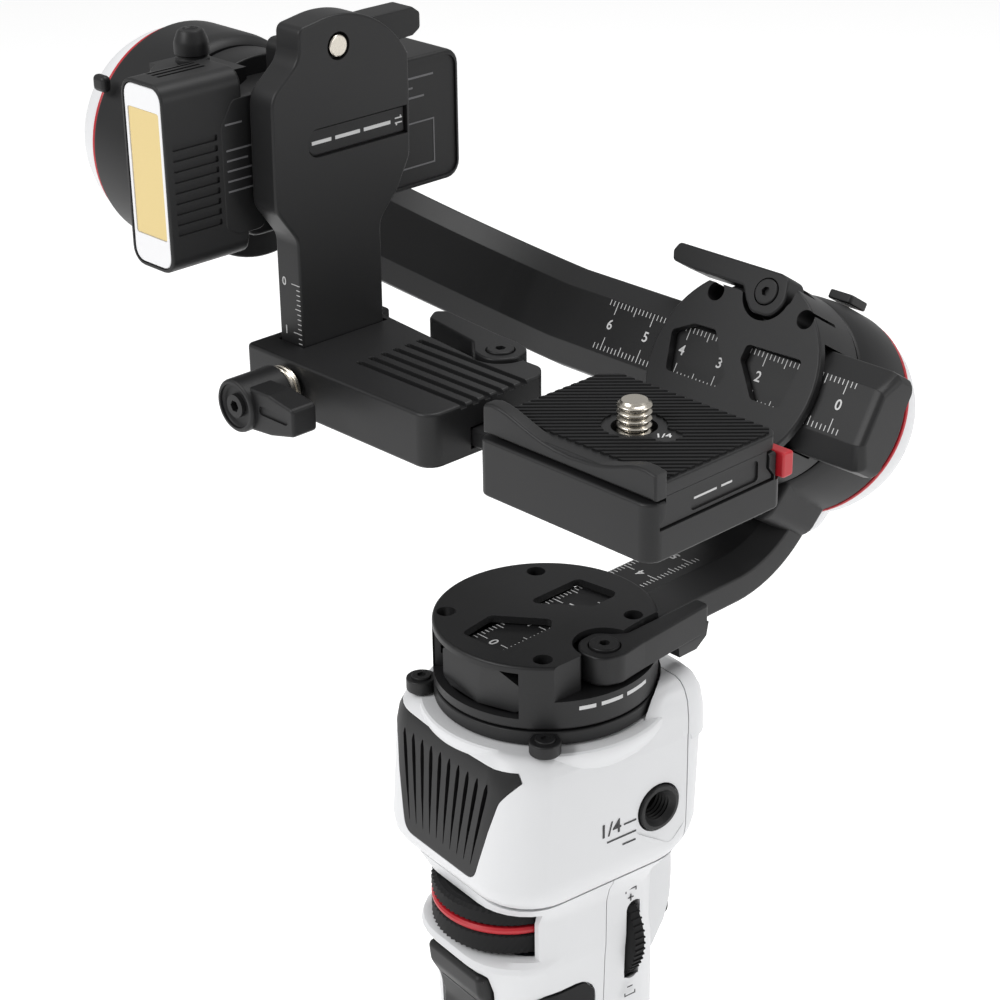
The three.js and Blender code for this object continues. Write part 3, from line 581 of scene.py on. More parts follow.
def vent_outline(grow):
    return offset(rounded(VENT, [3, 3, 7, 0.6, 8, 18, 8, 0.6, 7]), -grow)


def bump_ring(y, z, half):
    """One level of the rise behind the joystick panel."""
    return [
        (-half, 8, z), (half, 8, z), (half, y - 2, z), (half - 2, y, z), (-half + 2, y, z), (-half, y - 2, z),
    ]


class MakeShells(bpy.types.Operator):
    """Build the white grip and head shells, with their pockets and seams"""

    bl_idname = "gimbal.make_shells"
    bl_label = "Grip and head shells"

    def execute(self, context):
        bump = skin([
            bump_ring(y, z, h)
            for y, z, h in (
                (18.0, 98, 10.4), (20.6, 103, 11.2), (23.0, 108, 11.6), (24.2, 113, 11.8),
                (24.4, 119, 11.8), (24.0, 125, 11.8), (23, 130.05, 11.6),
            )
        ])
        solid = [body_of_plans(GRIP_PLANS), bump]
        cuts = [
            body_of_plans([
                (3.6, 16.4, 18.4, 17.9, 10), *GRIP_PLANS[3:6], (109, 17.4, 20, 18.6, 10),
                (122, 17.9, 20.6, 19, 10), (131.5, 20, 21, 21, 9),
            ], 2.2),
            rod(16.0, 115.85, 127.1, "Z", 0, WHEEL_Y, 0.4, 96), block(9, 30, -40, -14.6, 115.85, 127.1),
            block(-30, -9, -40, -14.6, 115.85, 127.1),
            slab(box_outline(-9.3, 9.3, 85.5, 111.7, 1.2), -30, -15, "Y", 0),
            slab(box_outline(6.0, 10.0, 102.4, 121.2, 1.9), 12, 30, "X", 0),
            rod(13, 6.1, 9.9, "Y", 7.6, 111.8, 0.2),
            slab(box_outline(-17.2, -1.2, 34, 107.4, 5), 16.0, 25, "X", 0),
            slab(box_outline(-17.2, -1.2, 34, 107.4, 5), -25, -16.0, "X", 0),
            rod(3.3, -25, -12, "X", 8.5, 112, 0),
            slab(box_outline(-9.3, 9.3, 105.1, 125.3, 2.9), 20.6, 40, "Y", 0),
            slab(box_outline(-5, 6, 14, 20.6, 2.6), -25, -12, "X", 0),
            slab(box_outline(-10.9, 10.9, -10.9, 10.9, 5.8), -1, 4.1, "Z", 0),
        ]
        front = carve("grip_front", solid, cuts, [block(-40, 40, -40, 0.78, -1, 140)], HEAD, 0.18)
        fit(front, "handle", "white_shell", "grip_front_shell")
        rear = carve("grip_rear", solid, cuts, [block(-40, 40, 0.98, 40, -1, 140)], HEAD, 0.18)
        fit(rear, "handle", "white_shell", "grip_rear_shell")

        shoulder = skin([
            plan(z, a, f, b, r)
            for z, a, f, b, r in (
                (156, 21.9, -2, 25.1, 7), (161, 21.8, -2.6, 25.0, 7), (164.4, 21.4, -4, 24.6, 7),
                (166.6, 20.5, -6.4, 23.6, 6.6), (167.8, 19.3, -9, 22.4, 6), (168.3, 17.8, -12, 20.8, 4),
            )
        ])
        ledge = lathe([
            (21, 156.5), (23.4, 159.6), (24.2, 161.2), (24.5, 162.6), (24.3, 163.2), (23.9, 163.5),
            (20, 163.5),
        ], sides=96)
        wall = body_of_plans([
            (129, 18.6, 20.6, 19, 9), (135, 21.8, 25.2, 24, 9), (158.6, 21.8, 23.4, 24.4, 9),
        ], 2.2)
        head_cuts = [
            wall, rod(17, 155, 163.9, rim=0), rod(22.1, 163.5, 180, rim=0, sides=96),
            slab(vent_outline(0.12), -40, -20.4, "Y", 0), rod(5.15, 15, 30, "X", PORT_Y, PORT_Z, 0),
            slab(box_outline(-9.4, 9.4, 141, 153.4, 1.6), 23.8, 40, "Y", 0),
            *[rod(3.25, 163.5, 180, "Z", x, y, 0) for x, y in LUGS],
            slab(rounded([
                (4.6, 148.2), (8.2, 150.4), (14.4, 151.8), (15.4, 157.6), (18.4, 157.6), (18.4, 139.4),
                (13.4, 134.4), (4.6, 140.2),
            ], 1.6), 21.76, 30, "X", 0),
        ]
        split = 17.4
        solids = [body_of_plans(HEAD_PLANS), ledge, shoulder]
        head = carve("head_front", solids, head_cuts, [block(-40, 40, -40, split, 100, 180)], HEAD, 0.16)
        fit(head, "handle", "white_shell", "head_shell")
        cover = carve(
            "head_cover", solids, head_cuts, [block(-40, 40, split + 0.25, 40, 100, 180)], HEAD, 0.16
        )
        fit(cover, "handle", "white_shell", "head_rear_cover")
        return {"FINISHED"}


class MakeVent(bpy.types.Operator):
    """Build the finned black vent on the front of the head"""

    bl_idname = "gimbal.make_vent"
    bl_label = "Vent"

    def execute(self, context):
        count = context.scene.gimbal_sizes.fins
        grooves = []
        for i in range(count + 1):
            x = -13.2 + 26.4 * i / count
            low = x * 0.74
            rings = [[
                (low - 0.1, -40, 138.6), (low + 0.1, -40, 138.6), (low + 0.05, -26, 138.6),
                (low - 0.05, -26, 138.6),
            ]]
            for share, half, floor, z in (
                (0.4, 0.7, -23.4, 146), (0.8, 1.0, -21.4, 153.4), (0.96, 0.9, -21.2, 156.4),
                (1, 0.25, -24.4, 157.9),
            ):
                mid = low + (x - low) * share
                rings.append([
                    (mid - half, -40, z), (mid + half, -40, z), (mid + half * 0.5, floor, z),
                    (mid - half * 0.5, floor, z),
                ])
            grooves.append(skin(rings))
        panel = carve(
            "vent", [body_of_plans(HEAD_PLANS)],
            [block(-30, 30, -20.6, 40, 100, 190), *grooves],
            [slab(vent_outline(0), -40, -10, "Y", 0)], HEAD, 0.12)
        fit(panel, "handle", "black_plastic", "vent_grille")
        return {"FINISHED"}


def knurled(radius, low, high, teeth, rows, depth, axis, x, y, chamfer=1.0):
    """A wheel with a chequered rim."""
    sides = teeth * 2
    rings = [[seat(p, low, axis) for p in circle(radius - chamfer, x, y, sides)]]
    for k in range(rows + 1):
        h = low + chamfer * 0.6 + (high - low - 1.2 * chamfer) * k / rows
        ring = []
        for i in range(sides):
            turn = 2 * math.pi * i / sides
            r = radius - (depth if (i + k) % 2 else 0)
            ring.append(seat((x + r * math.cos(turn), y + r * math.sin(turn)), h, axis))
        rings.append(ring)
    rings.append([seat(p, high, axis) for p in circle(radius - chamfer, x, y, sides)])
    return skin(rings)


class MakeControls(bpy.types.Operator):
    """Build the control wheel, side dial, trigger, buttons, display, pads, port and base"""

    bl_idname = "gimbal.make_controls"
    bl_label = "Controls"

    def execute(self, context):
        look, sizes = finishes(), context.scene.gimbal_sizes
        rubber = look["soft_rubber"]
        hub = rod(14.4, 116.3, 126.7, "Z", 0, WHEEL_Y, 1.2, 96)
        low = knurled(15.4, 116.4, 121.3, sizes.knurls, 4, 0.42, "Z", 0, WHEEL_Y)
        high = knurled(15.4, 122.9, 126.6, sizes.knurls, 3, 0.42, "Z", 0, WHEEL_Y)
        bands = [new_object("wheel_band", mesh_of("wheel_band", s, HEAD)) for s in (hub, low, high)]
        fit(together("wheel", bands, math.radians(14)), "wheel", "soft_rubber", "control_wheel")
        edge = [(14.0, 121.2), (15.1, 121.35), (15.4, 121.8), (15.4, 122.3), (15.1, 122.75), (14.0, 122.9)]
        line = carve("wheel_line", [lathe(edge, "Z", 0, WHEEL_Y, 96)], place=HEAD)
        fit(line, "wheel", "red_trim", "control_wheel_line")

        dial = lathe([(11.0, 6.4), (12.1, 6.9), (12.1, 9.1), (11.0, 9.6)], "Y", 7.6, 111.8, 96)
        tooth = block(-0.18, 0.18, 6.8, 9.2, 11.8, 12.4)
        teeth = [
            moved(tooth, Matrix.Translation((7.6, 0, 111.8)) @ Matrix.Rotation(
                2 * math.pi * k / sizes.dial_teeth, 4, "Y"
            ))
            for k in range(sizes.dial_teeth)
        ]
        parts = [new_object("dial_part", mesh_of("dial_part", s, HEAD)) for s in [dial, *teeth]]
        fit(together("dial", parts), "dial", "soft_rubber", "side_dial")

        side = rounded([
            (-15.8, 86.4), (-18.9, 86.2), (-20.6, 90), (-19.9, 97.4), (-21.2, 102.6), (-23.2, 106.4),
            (-23.7, 111.1), (-15.8, 111.1),
        ], [0.2, 1.4, 3, 5, 4, 4, 1.2, 0.2])
        groove = slab(box_outline(-6.4, 6.4, 103.2, 103.7, 0.2), -22.3, -21.0, "Y", 0)
        trigger = carve("trigger_key", [slab(side, -8.7, 8.7, "X", 1.3)], [groove], place=HEAD, bevel=0.08)
        fit(trigger, "trigger_key", "black_plastic", "trigger")

        for sign, name, node in ((1, "pad_right", "grip_pad_right"), (-1, "pad_left", "grip_pad_left")):
            outline = rounded([
                (-16.7, 34.6), (-1.7, 34.6), (-1.7, 104.0), (-4.0, 106.9), (-16.7, 106.9),
            ], [4, 4, 2.4, 2.4, 3])
            grown = body_of_plans([(z, a + 0.25, f + 0.25, b + 0.25, r) for z, a, f, b, r in GRIP_PLANS[2:8]])
            span = (15.9, 30) if sign > 0 else (-30, -15.9)
            pad = carve(name, [slab(outline, *span, "X", 0)], (), [grown], HEAD, 0.35, 3)
            fit(pad, "handle", "soft_rubber", node)

        panel = carve(
            "panel", [slab(box_outline(-9, 9, 105.4, 125, 2.6), 20.9, 24.7, "Y", 0.6, low_fillet=0)],
            [
                rod(4.1, 18, 30, "Y", 0, STICK_Z, 0), rod(5.7, 24.15, 30, "Y", 0, STICK_Z, 0),
                rod(2.5, 18, 30, "Y", -5, STICK_Z - 9.6, 0), rod(2.5, 18, 30, "Y", 5, STICK_Z - 9.6, 0),
            ],
            place=HEAD,
        )
        fit(panel, "handle", "black_plastic", "control_panel")
        stick = carve("stick", [lathe([
            (2, 21.5), (2, 24.9), (4.9, 24.9), (5.2, 25.2), (5.2, 25.7), (4.8, 26), (3.1, 26.1), (2.9, 27),
            (2.5, 27.4), (0.6, 27.2),
        ], "Y", 0, STICK_Z)], place=HEAD)
        fit(stick, "stick", "black_plastic", "joystick", material=rubber)
        for x, name, body, slot, node in (
            (-5, "record_cap", "record_key", "red_trim", "record_button"),
            (5, "menu_cap", "menu_key", "black_plastic", "menu_button"),
        ):
            fit(carve(
                name, [rod(2.25, 21.8, 24.9, "Y", x, STICK_Z - 9.6, 0.5)], place=HEAD
            ), body, slot, node)
        fit(carve(
            "power_cap", [rod(3, -18.9, -15.8, "X", 8.5, 112, 0.5)], place=HEAD
        ), "power_key", "black_plastic", "power_button")
        fit(carve(
            "display_glass", [slab(box_outline(-9.1, 9.1, 141.3, 153.1, 1.4), 24, 24.85, "Y", 0.2)],
            place=HEAD,
        ), "handle", "display", "display_window")
        flap = carve("port_flap", [slab(
            box_outline(-4.6, 5.6, 14.4, 20.2, 2.2), -17.1, -14.9, "X", 0.35
        )], place=HEAD)
        fit(flap, "handle", "soft_rubber", "charging_port_cover")

        thread = [(4.8, 15), (4.8, 21.9), (4.55, 22.35), (3.9, 22.4), (3.45, 21.9)]
        depth = 21.6
        while depth > 17.2:
            thread += [(3.25, depth), (2.9, depth - 0.32), (3.25, depth - 0.64)]
            depth -= 0.9
        port = carve("port", [lathe([*thread, (3.0, 16.6), (0.1, 16.6)], "X", PORT_Y, PORT_Z)], place=HEAD)
        fit(port, "handle", "black_plastic", "expansion_port")

        cap = carve(
            "foot", [slab(box_outline(-10.6, 10.6, -10.6, 10.6, 5.6), 0, 3.8, "Z", 0.5)],
            [rod(5.3, -1, 6, rim=0)], place=HEAD, bevel=0.1,
        )
        fit(cap, "handle", "black_plastic", "base_cap")
        fit(carve(
            "foot_socket", [rod(5, 0.2, 9, rim=0.3)],
            [lathe([
                (3.4, -1), (3.4, 0.6), (3.1, 0.9),
                *[(r, 1 + 0.6 * k) for k, r in enumerate((3.1, 2.75) * 5)], (2.9, 7.4),
            ])],
            place=HEAD,
        ), "handle", "brass", "tripod_insert")

        face = Matrix(((0, 0, 1, 22.06), (1, 0, 0, 0), (0, 1, 0, 0), (0, 0, 0, 1)))
        bars = [(1.6, 4.6, 143.3, 143.65), (-2.5, 4.6, 140.8, 141.15), (1.3, 4.5, 138.9, 139.25)]
        marks(
            "port_size", bars, [("1/4", -1.7, 143.6, 4.2, 0)], HEAD @ face, "handle", look["print_black"],
            "black_plastic",
        )
        face.translation.x = 17.92
        dial_marks = []
        for side in (1, -1):
            def level(z):
                return 111.8 + side * z
            for y0, y1, z0, z1 in (
                (5.6, 8.4, 12.5, 12.75), (5.6, 5.85, 11.9, 12.75), (8.15, 8.4, 11.9, 12.75),
                (6.3, 7.7, 10.5, 10.75),
            ):
                dial_marks.append((y0, y1, *sorted((level(z0), level(z1)))))
        dial_marks.append((6.88, 7.12, 121.6, 123.2))
        marks("dial_marks", dial_marks, [], HEAD @ face, "handle", look["print_black"], "black_plastic")
        return {"FINISHED"}


# ---------- pan motor and arm ----------
def socket_screw(name, radius, height, axis, x, y, place, body):
    """A round screw head with a six-sided socket."""
    hexagon = circle(radius * 0.48, x, y, 6, 0.3)
    head = carve(
        name, [rod(radius, height - 0.9, height, axis, x, y, 0.2)],
        [slab(hexagon, height - 0.7, height + 1, axis, 0)], place=place,
    )
    return fit(head, body, "black_plastic")


PAN_WINDOWS = (
    rounded([(-5.4, -16.6), (5.0, -16.2), (5.0, -3.4), (2.7, -0.8), (-6.7, -8)], 1.2),
    rounded([(-5.6, 0.3), (4.6, 8.4), (4.6, 14.0), (3.6, 15.7), (-5.6, 14.6)], 1.2),
)
PAN_LEVER = (16.2, -0.6)
PAN_FACE = 178.4


class MakePan(bpy.types.Operator):
    """Build the pan motor, its slotted clamp, its lever and the pan arm"""

    bl_idname = "gimbal.make_pan"
    bl_label = "Pan motor and arm"

    def execute(self, context):
        look = finishes()
        stator = carve("stator", [
            rod(21.5, 163.85, 166.7, rim=0.35, sides=96),
            *[rod(3.0, 163.85, 166.5, "Z", x, y, 0.35) for x, y in LUGS],
        ], [rod(6.4, 150, 170, rim=0)], place=HEAD)
        fit(stator, "handle", "black_plastic", "pan_stator")
        for k, (x, y) in enumerate(LUGS):
            socket_screw(f"lug_screw_{k}", 1.9, 166.95, "Z", x, y, HEAD, "handle")

        half = 10.65
        recess = rounded([
            (15.8, -30), (40, -30), (40, 34), (14.9, 34), (14.7, 11.8), (15.4, 4.2), (10.9, 1.6),
            (11, -3.6), (16.6, -7),
        ], [0, 0, 0, 0, 2, 1, 3, 3, 1])
        cuts = [
            slab(rounded(
                [(-half, -30), (half, -30), (half, 30), (-half, 30)], 0
            ), 169.2, PAN_FACE + 0.35, "Z", 0),
            skin([
                [(-15.4, -30, z), (12.8, -30, z), (10.65, -12, z), (-10.65, -12, z), (-14.4, -15.4, z)]
                for z in (169.2, 178.75)
            ]),
            *[slab(w, 172, 190, "Z", 0) for w in PAN_WINDOWS],
            *[
                rod(1.85, 172, 190, "Z", x, y, 0)
                for x, y in ((-13.8, -12.8), (-13.6, 11.0), (12.4, 11.2), (12.6, -13.1))
            ],
            rod(6.0, 173, 190, "Z", *PAN_LEVER, 0), slab(recess, 173, 190, "Z", 0),
        ]
        clamp = carve(
            "pan_clamp_plate", [rod(21.5, 167.05, 180.2, rim=0.6, sides=96)], cuts, place=PAN, bevel=0.22
        )
        fit(clamp, "pan_rotor", "black_anodised", "pan_clamp")
        post = carve(
            "pan_lever_pin", [rod(2.9, 172.6, 180.25, "Z", *PAN_LEVER, 0.3)],
            [slab(circle(1.1, *PAN_LEVER, 6), 179.2, 182, "Z", 0)],
        )
        fit(post, "pan_rotor", "black_plastic")
        lever_outline = rounded([
            (11.4, -2.8), (14.4, -5.6), (19.6, -5.2), (21.2, -0.8), (20.4, 6), (19.0, 25.3), (15.7, 25.3),
            (15.7, 6.2), (14.2, 4.0), (11.2, 1.8),
        ], [3.6, 3.6, 4, 4, 8, 0.9, 0.9, 2.4, 1.5, 3])
        tip = skin([
            [(15.7, y0, z), (x1, y0, z), (x1, y1, z), (15.7, y1, z)]
            for z, y0, x1, y1 in (
                (170.7, 17.8, 18.4, 22.6), (173.2, 16.8, 19.1, 24.6), (176, 15.2, 19.1, 25.2),
            )
        ])
        lever = carve(
            "pan_lever_arm", [slab(lever_outline, 173.7, 179.7, "Z", 0.5), tip],
            [rod(3.15, 160, 190, "Z", *PAN_LEVER, 0)], bevel=0.12,
        )
        fit(lever, "pan_lock_lever", "black_plastic", "pan_lever")

        fit(carve("pan_arm_bar", [skin(pan_rings())]), "pan_link", "black_anodised", "pan_arm")
        face = Matrix(((0, -1, 0, -1.0), (1, 0, 0, 0), (0, 0, 1, PAN_FACE), (0, 0, 0, 1)))
        numerals = [(str(i), -12.4 + 10 * i, 0, 3.0, 90) for i in range(6)]
        marks(
            "pan_scale", scale_bars(-12.4, 1, 5, 4.6), numerals, face, "pan_link", look["print_white"],
            "black_anodised",
        )
        dashes = drum_bars("pan_marks", ((-28, -19), (-16, -3), (0, 16)), 170.9, 171.7, 21.54)
        fit(dashes, "pan_rotor", "black_anodised", material=look["print_white"])
        return {"FINISHED"}


def drum_bars(name, spans, low, high, radius):
    """Plain bars wrapped round an upright drum, from one angle to another in degrees."""
    work = bmesh.new()
    for start, end in spans:
        rims = []
        for k in range(5):
            turn = math.radians(start + (end - start) * k / 4)
            rims.append([
                work.verts.new(Vector((radius * math.cos(turn), radius * math.sin(turn), z)) * MM)
                for z in (low, high)
            ])
        for a, b in zip(rims, rims[1:]):
            work.faces.new((a[0], b[0], b[1], a[1]))
    mesh = bpy.data.meshes.new(name)
    work.to_mesh(mesh)
    work.free()
    return new_object(name, mesh)


def arm_section(width=20.6, flat=11.4, thick=8.8, bevel=3.2, radius=0.8):
    """Across and down, round the section, starting at one lower corner."""
    w, f = width / 2, flat / 2
    top = [(f * k / 4, 0) for k in range(3, -4, -1)]
    under = [(w * k / 5, -thick) for k in range(-4, 5)]
    return rounded(
        [(-w, -thick), *under, (w, -thick), (w, -bevel), (f, 0), *top, (-f, 0), (-w, -bevel)],
        [0.9, *[0] * 9, 0.9, radius, 0.5, *[0] * 7, 0.5, radius], 3,
    )


def pan_rings():
    end = [(-p.x, -math.sqrt(19.9**2 - p.x**2), PAN_FACE + p.y) for p in arm_section()]
    straight, bend, stride, steps = 44.5, 1.12, 1.45, 16
    path = [(-14, 0, 0), (straight, 0, 0)]
    y, z = straight, 0.0
    for k in range(1, steps + 1):
        pitch = bend * k / steps
        y, z = y + stride * math.cos(pitch), z + stride * math.sin(pitch)
        path.append((y, z, pitch))
    return [end] + [
        [(-p.x, y - p.y * math.sin(t), PAN_FACE + z + p.y * math.cos(t)) for p in arm_section()]
        for y, z, t in path
    ]


def roll_rings():
    rings = []
    for x, drop, share in ((34, -1.2, 0.82), (33.7, -0.6, 0.9), (33, -0.15, 0.97), (31.6, 0, 1)):
        rings.append([(x, p.x * share, p.y + drop if p.y > -5 else p.y) for p in arm_section()])
    start, reach, rise, steps = -49, 45, 4.4, 28
    path = [(start, 0, 0, 0)]
    for k in range(1, steps + 1):
        t = math.pi / 2 * k / steps
        path.append((start - reach * math.sin(t), reach - reach * math.cos(t), t, rise * k / steps))
    return rings + [
        [(x + p.y * math.sin(t), p.x + lift, z + p.y * math.cos(t)) for p in arm_section()]
        for x, z, t, lift in path
    ]


# ---------- roll motor, clamp and arm ----------
class MakeRoll(bpy.types.Operator):
    """Build the roll motor with its red seal and white cap, its clamp and lever, and the roll arm"""

    bl_idname = "gimbal.make_roll"
    bl_label = "Roll motor and arm"

    def execute(self, context):
        look = finishes()
        drum = lathe([
            (20.6, -29.5), (21.5, -29.2), (21.8, -28.6), (21.8, -22), (21.2, -17), (20.4, -14.2),
            (19.8, -13.6),
        ], sides=96)
        neck = slab(rounded([
            (-10.6, -25.2), (10.6, -25.2), (13, -12), (13, 0), (-13, 0), (-13, -12),
        ], 3.5), -29.5, -13.6, "Z", 1.0)
        housing = carve("roll_housing", [drum, neck], [rod(6.4, -28, 0, rim=0)], place=ROLL, bevel=0.2)
        fit(housing, "pan_link", "black_plastic", "roll_motor_housing")
        foot = [(-8.3, -24.9), (8.3, -24.9), (11.9, -10), (11.9, 0), (-11.9, 0), (-11.9, -10)]
        tail = slab(rounded(foot, 4.5), -30.6, -29.75, "Z", 0)
        seal = carve("roll_seal", [rod(21.6, -30.6, -29.75, rim=0.3, sides=96), tail], place=ROLL)
        fit(seal, "pan_link", "red_trim", "roll_seal_ring")
        dome = lathe([
            (12.5, -40.3), (15.2, -40.0), (17.6, -39.0), (19.3, -37.2), (20.4, -34.8), (20.9, -32.4),
            (20.9, -31),
        ], sides=96)
        skirt = skin([
            [
                (p.x, p.y, z)
                for p in rounded([
                    (-8.2 + g, -24.8 + g * 1.4), (8.2 - g, -24.8 + g * 1.4), (12 - g, -10), (12 - g, 0),
                    (-12 + g, 0), (-12 + g, -10),
                ], 4)
            ]
            for z, g in ((-31, 0), (-33, 0.1), (-35.4, 0.7), (-37, 1.8), (-38, 3.2))
        ])
        cap = carve("roll_cap", [dome, skirt], place=ROLL)
        fit(cap, "pan_link", "white_shell", "roll_motor_cap")
        tab = carve(
            "roll_tab", [slab(box_outline(-3, 3, -29, -22.6, 0.8), 22.3, 24.2, "Y", 0.35)],
            [slab(box_outline(-1.9, 1.9, -26.4 + k, -26.0 + k, 0.1), 23.9, 25, "Y", 0) for k in (0, 1, 2)],
            place=ROLL,
        )
        fit(tab, "roll_lock", "black_plastic", "roll_lock_tab")

        half = 10.65
        pivot = (1.4, 16.6)
        windows = (
            rounded([
                (-14.9, -4.3), (-1.6, -4.3), (-0.4, -1.6), (-7, 6.5), (-12.4, 6.3), (-17.2, 3.7),
            ], [1, 1, 1, 1.2, 1.2, 1]),
            rounded([(1.4, 2.5), (7.3, -4.2), (14.4, -4.1), (15.5, 6.2), (1.6, 5.8)], [1, 1.2, 1, 1, 1]),
        )
        notch = rounded([
            (-30, 15.4), (-30, 30), (9.4, 30), (7.6, 16.0), (4.5, 11.9), (-1.8, 12), (-4.4, 15.4),
        ], [0, 0, 0, 1.5, 3, 3, 1.5])
        cuts = [
            block(-30, 30, -half, half, -9.15, 0.35),
            *[slab(w, -1, 9, "Z", 0) for w in windows],
            *[rod(1.95, -6, 9, "Z", x, y, 0) for x, y in ((-10.5, 13.7), (12.3, 13.8))],
            rod(5.8, -4.6, 9, "Z", *pivot, 0), slab(notch, -4.6, 9, "Z", 0),
        ]
        clamp = carve(
            "roll_clamp_plate", [rod(20.4, -12.4, 2.2, rim=0.5, sides=96)], cuts, place=ROLL, bevel=0.2
        )
        fit(clamp, "roll_rotor", "black_anodised", "roll_clamp")
        pin = carve(
            "roll_lever_pin", [rod(2.6, -5.2, 2.9, "Z", *pivot, 0.3)],
            [slab(circle(1.0, *pivot, 6), 1.9, 5, "Z", 0)], place=ROLL,
        )
        fit(pin, "roll_rotor", "black_plastic")
        outline = rounded([
            (6.6, 15.6), (5.4, 20.4), (3, 20.9), (-23.6, 20.9), (-24.5, 19), (-23.6, 17.0), (-17.4, 16.4),
            (-4.6, 16.4), (-2.8, 14), (-0.6, 11.9), (4.4, 12),
        ], [4, 3, 1.6, 1, 1, 1, 2, 1, 1, 2.6, 3])
        lever = carve(
            "roll_lever_arm", [slab(outline, -3.3, 2.6, "Z", 0.5)], [rod(2.85, -30, 30, "Z", *pivot, 0)],
            place=ROLL, bevel=0.12,
        )
        fit(lever, "roll_lock_lever", "black_plastic", "roll_lever")

        to_roll = ROLL.inverted() @ TILT
        room = moved(rod(22.8, -140, -40, "X", rim=0, sides=96), to_roll)
        arm = carve("roll_arm_bar", [skin(roll_rings())], [room], place=ROLL)
        fit(arm, "roll_link", "black_anodised", "roll_arm")
        bars = [(-b, -a, c + 0.3, d + 0.3) for a, b, c, d in scale_bars(-25.5, 1, 6, 5.3)]
        numerals = [(str(i), 25.4 - 10 * i, 0.5, 3.0, 0) for i in range(7)]
        marks("roll_scale", bars, numerals, ROLL, "roll_link", look["print_white"], "black_anodised")
        return {"FINISHED"}


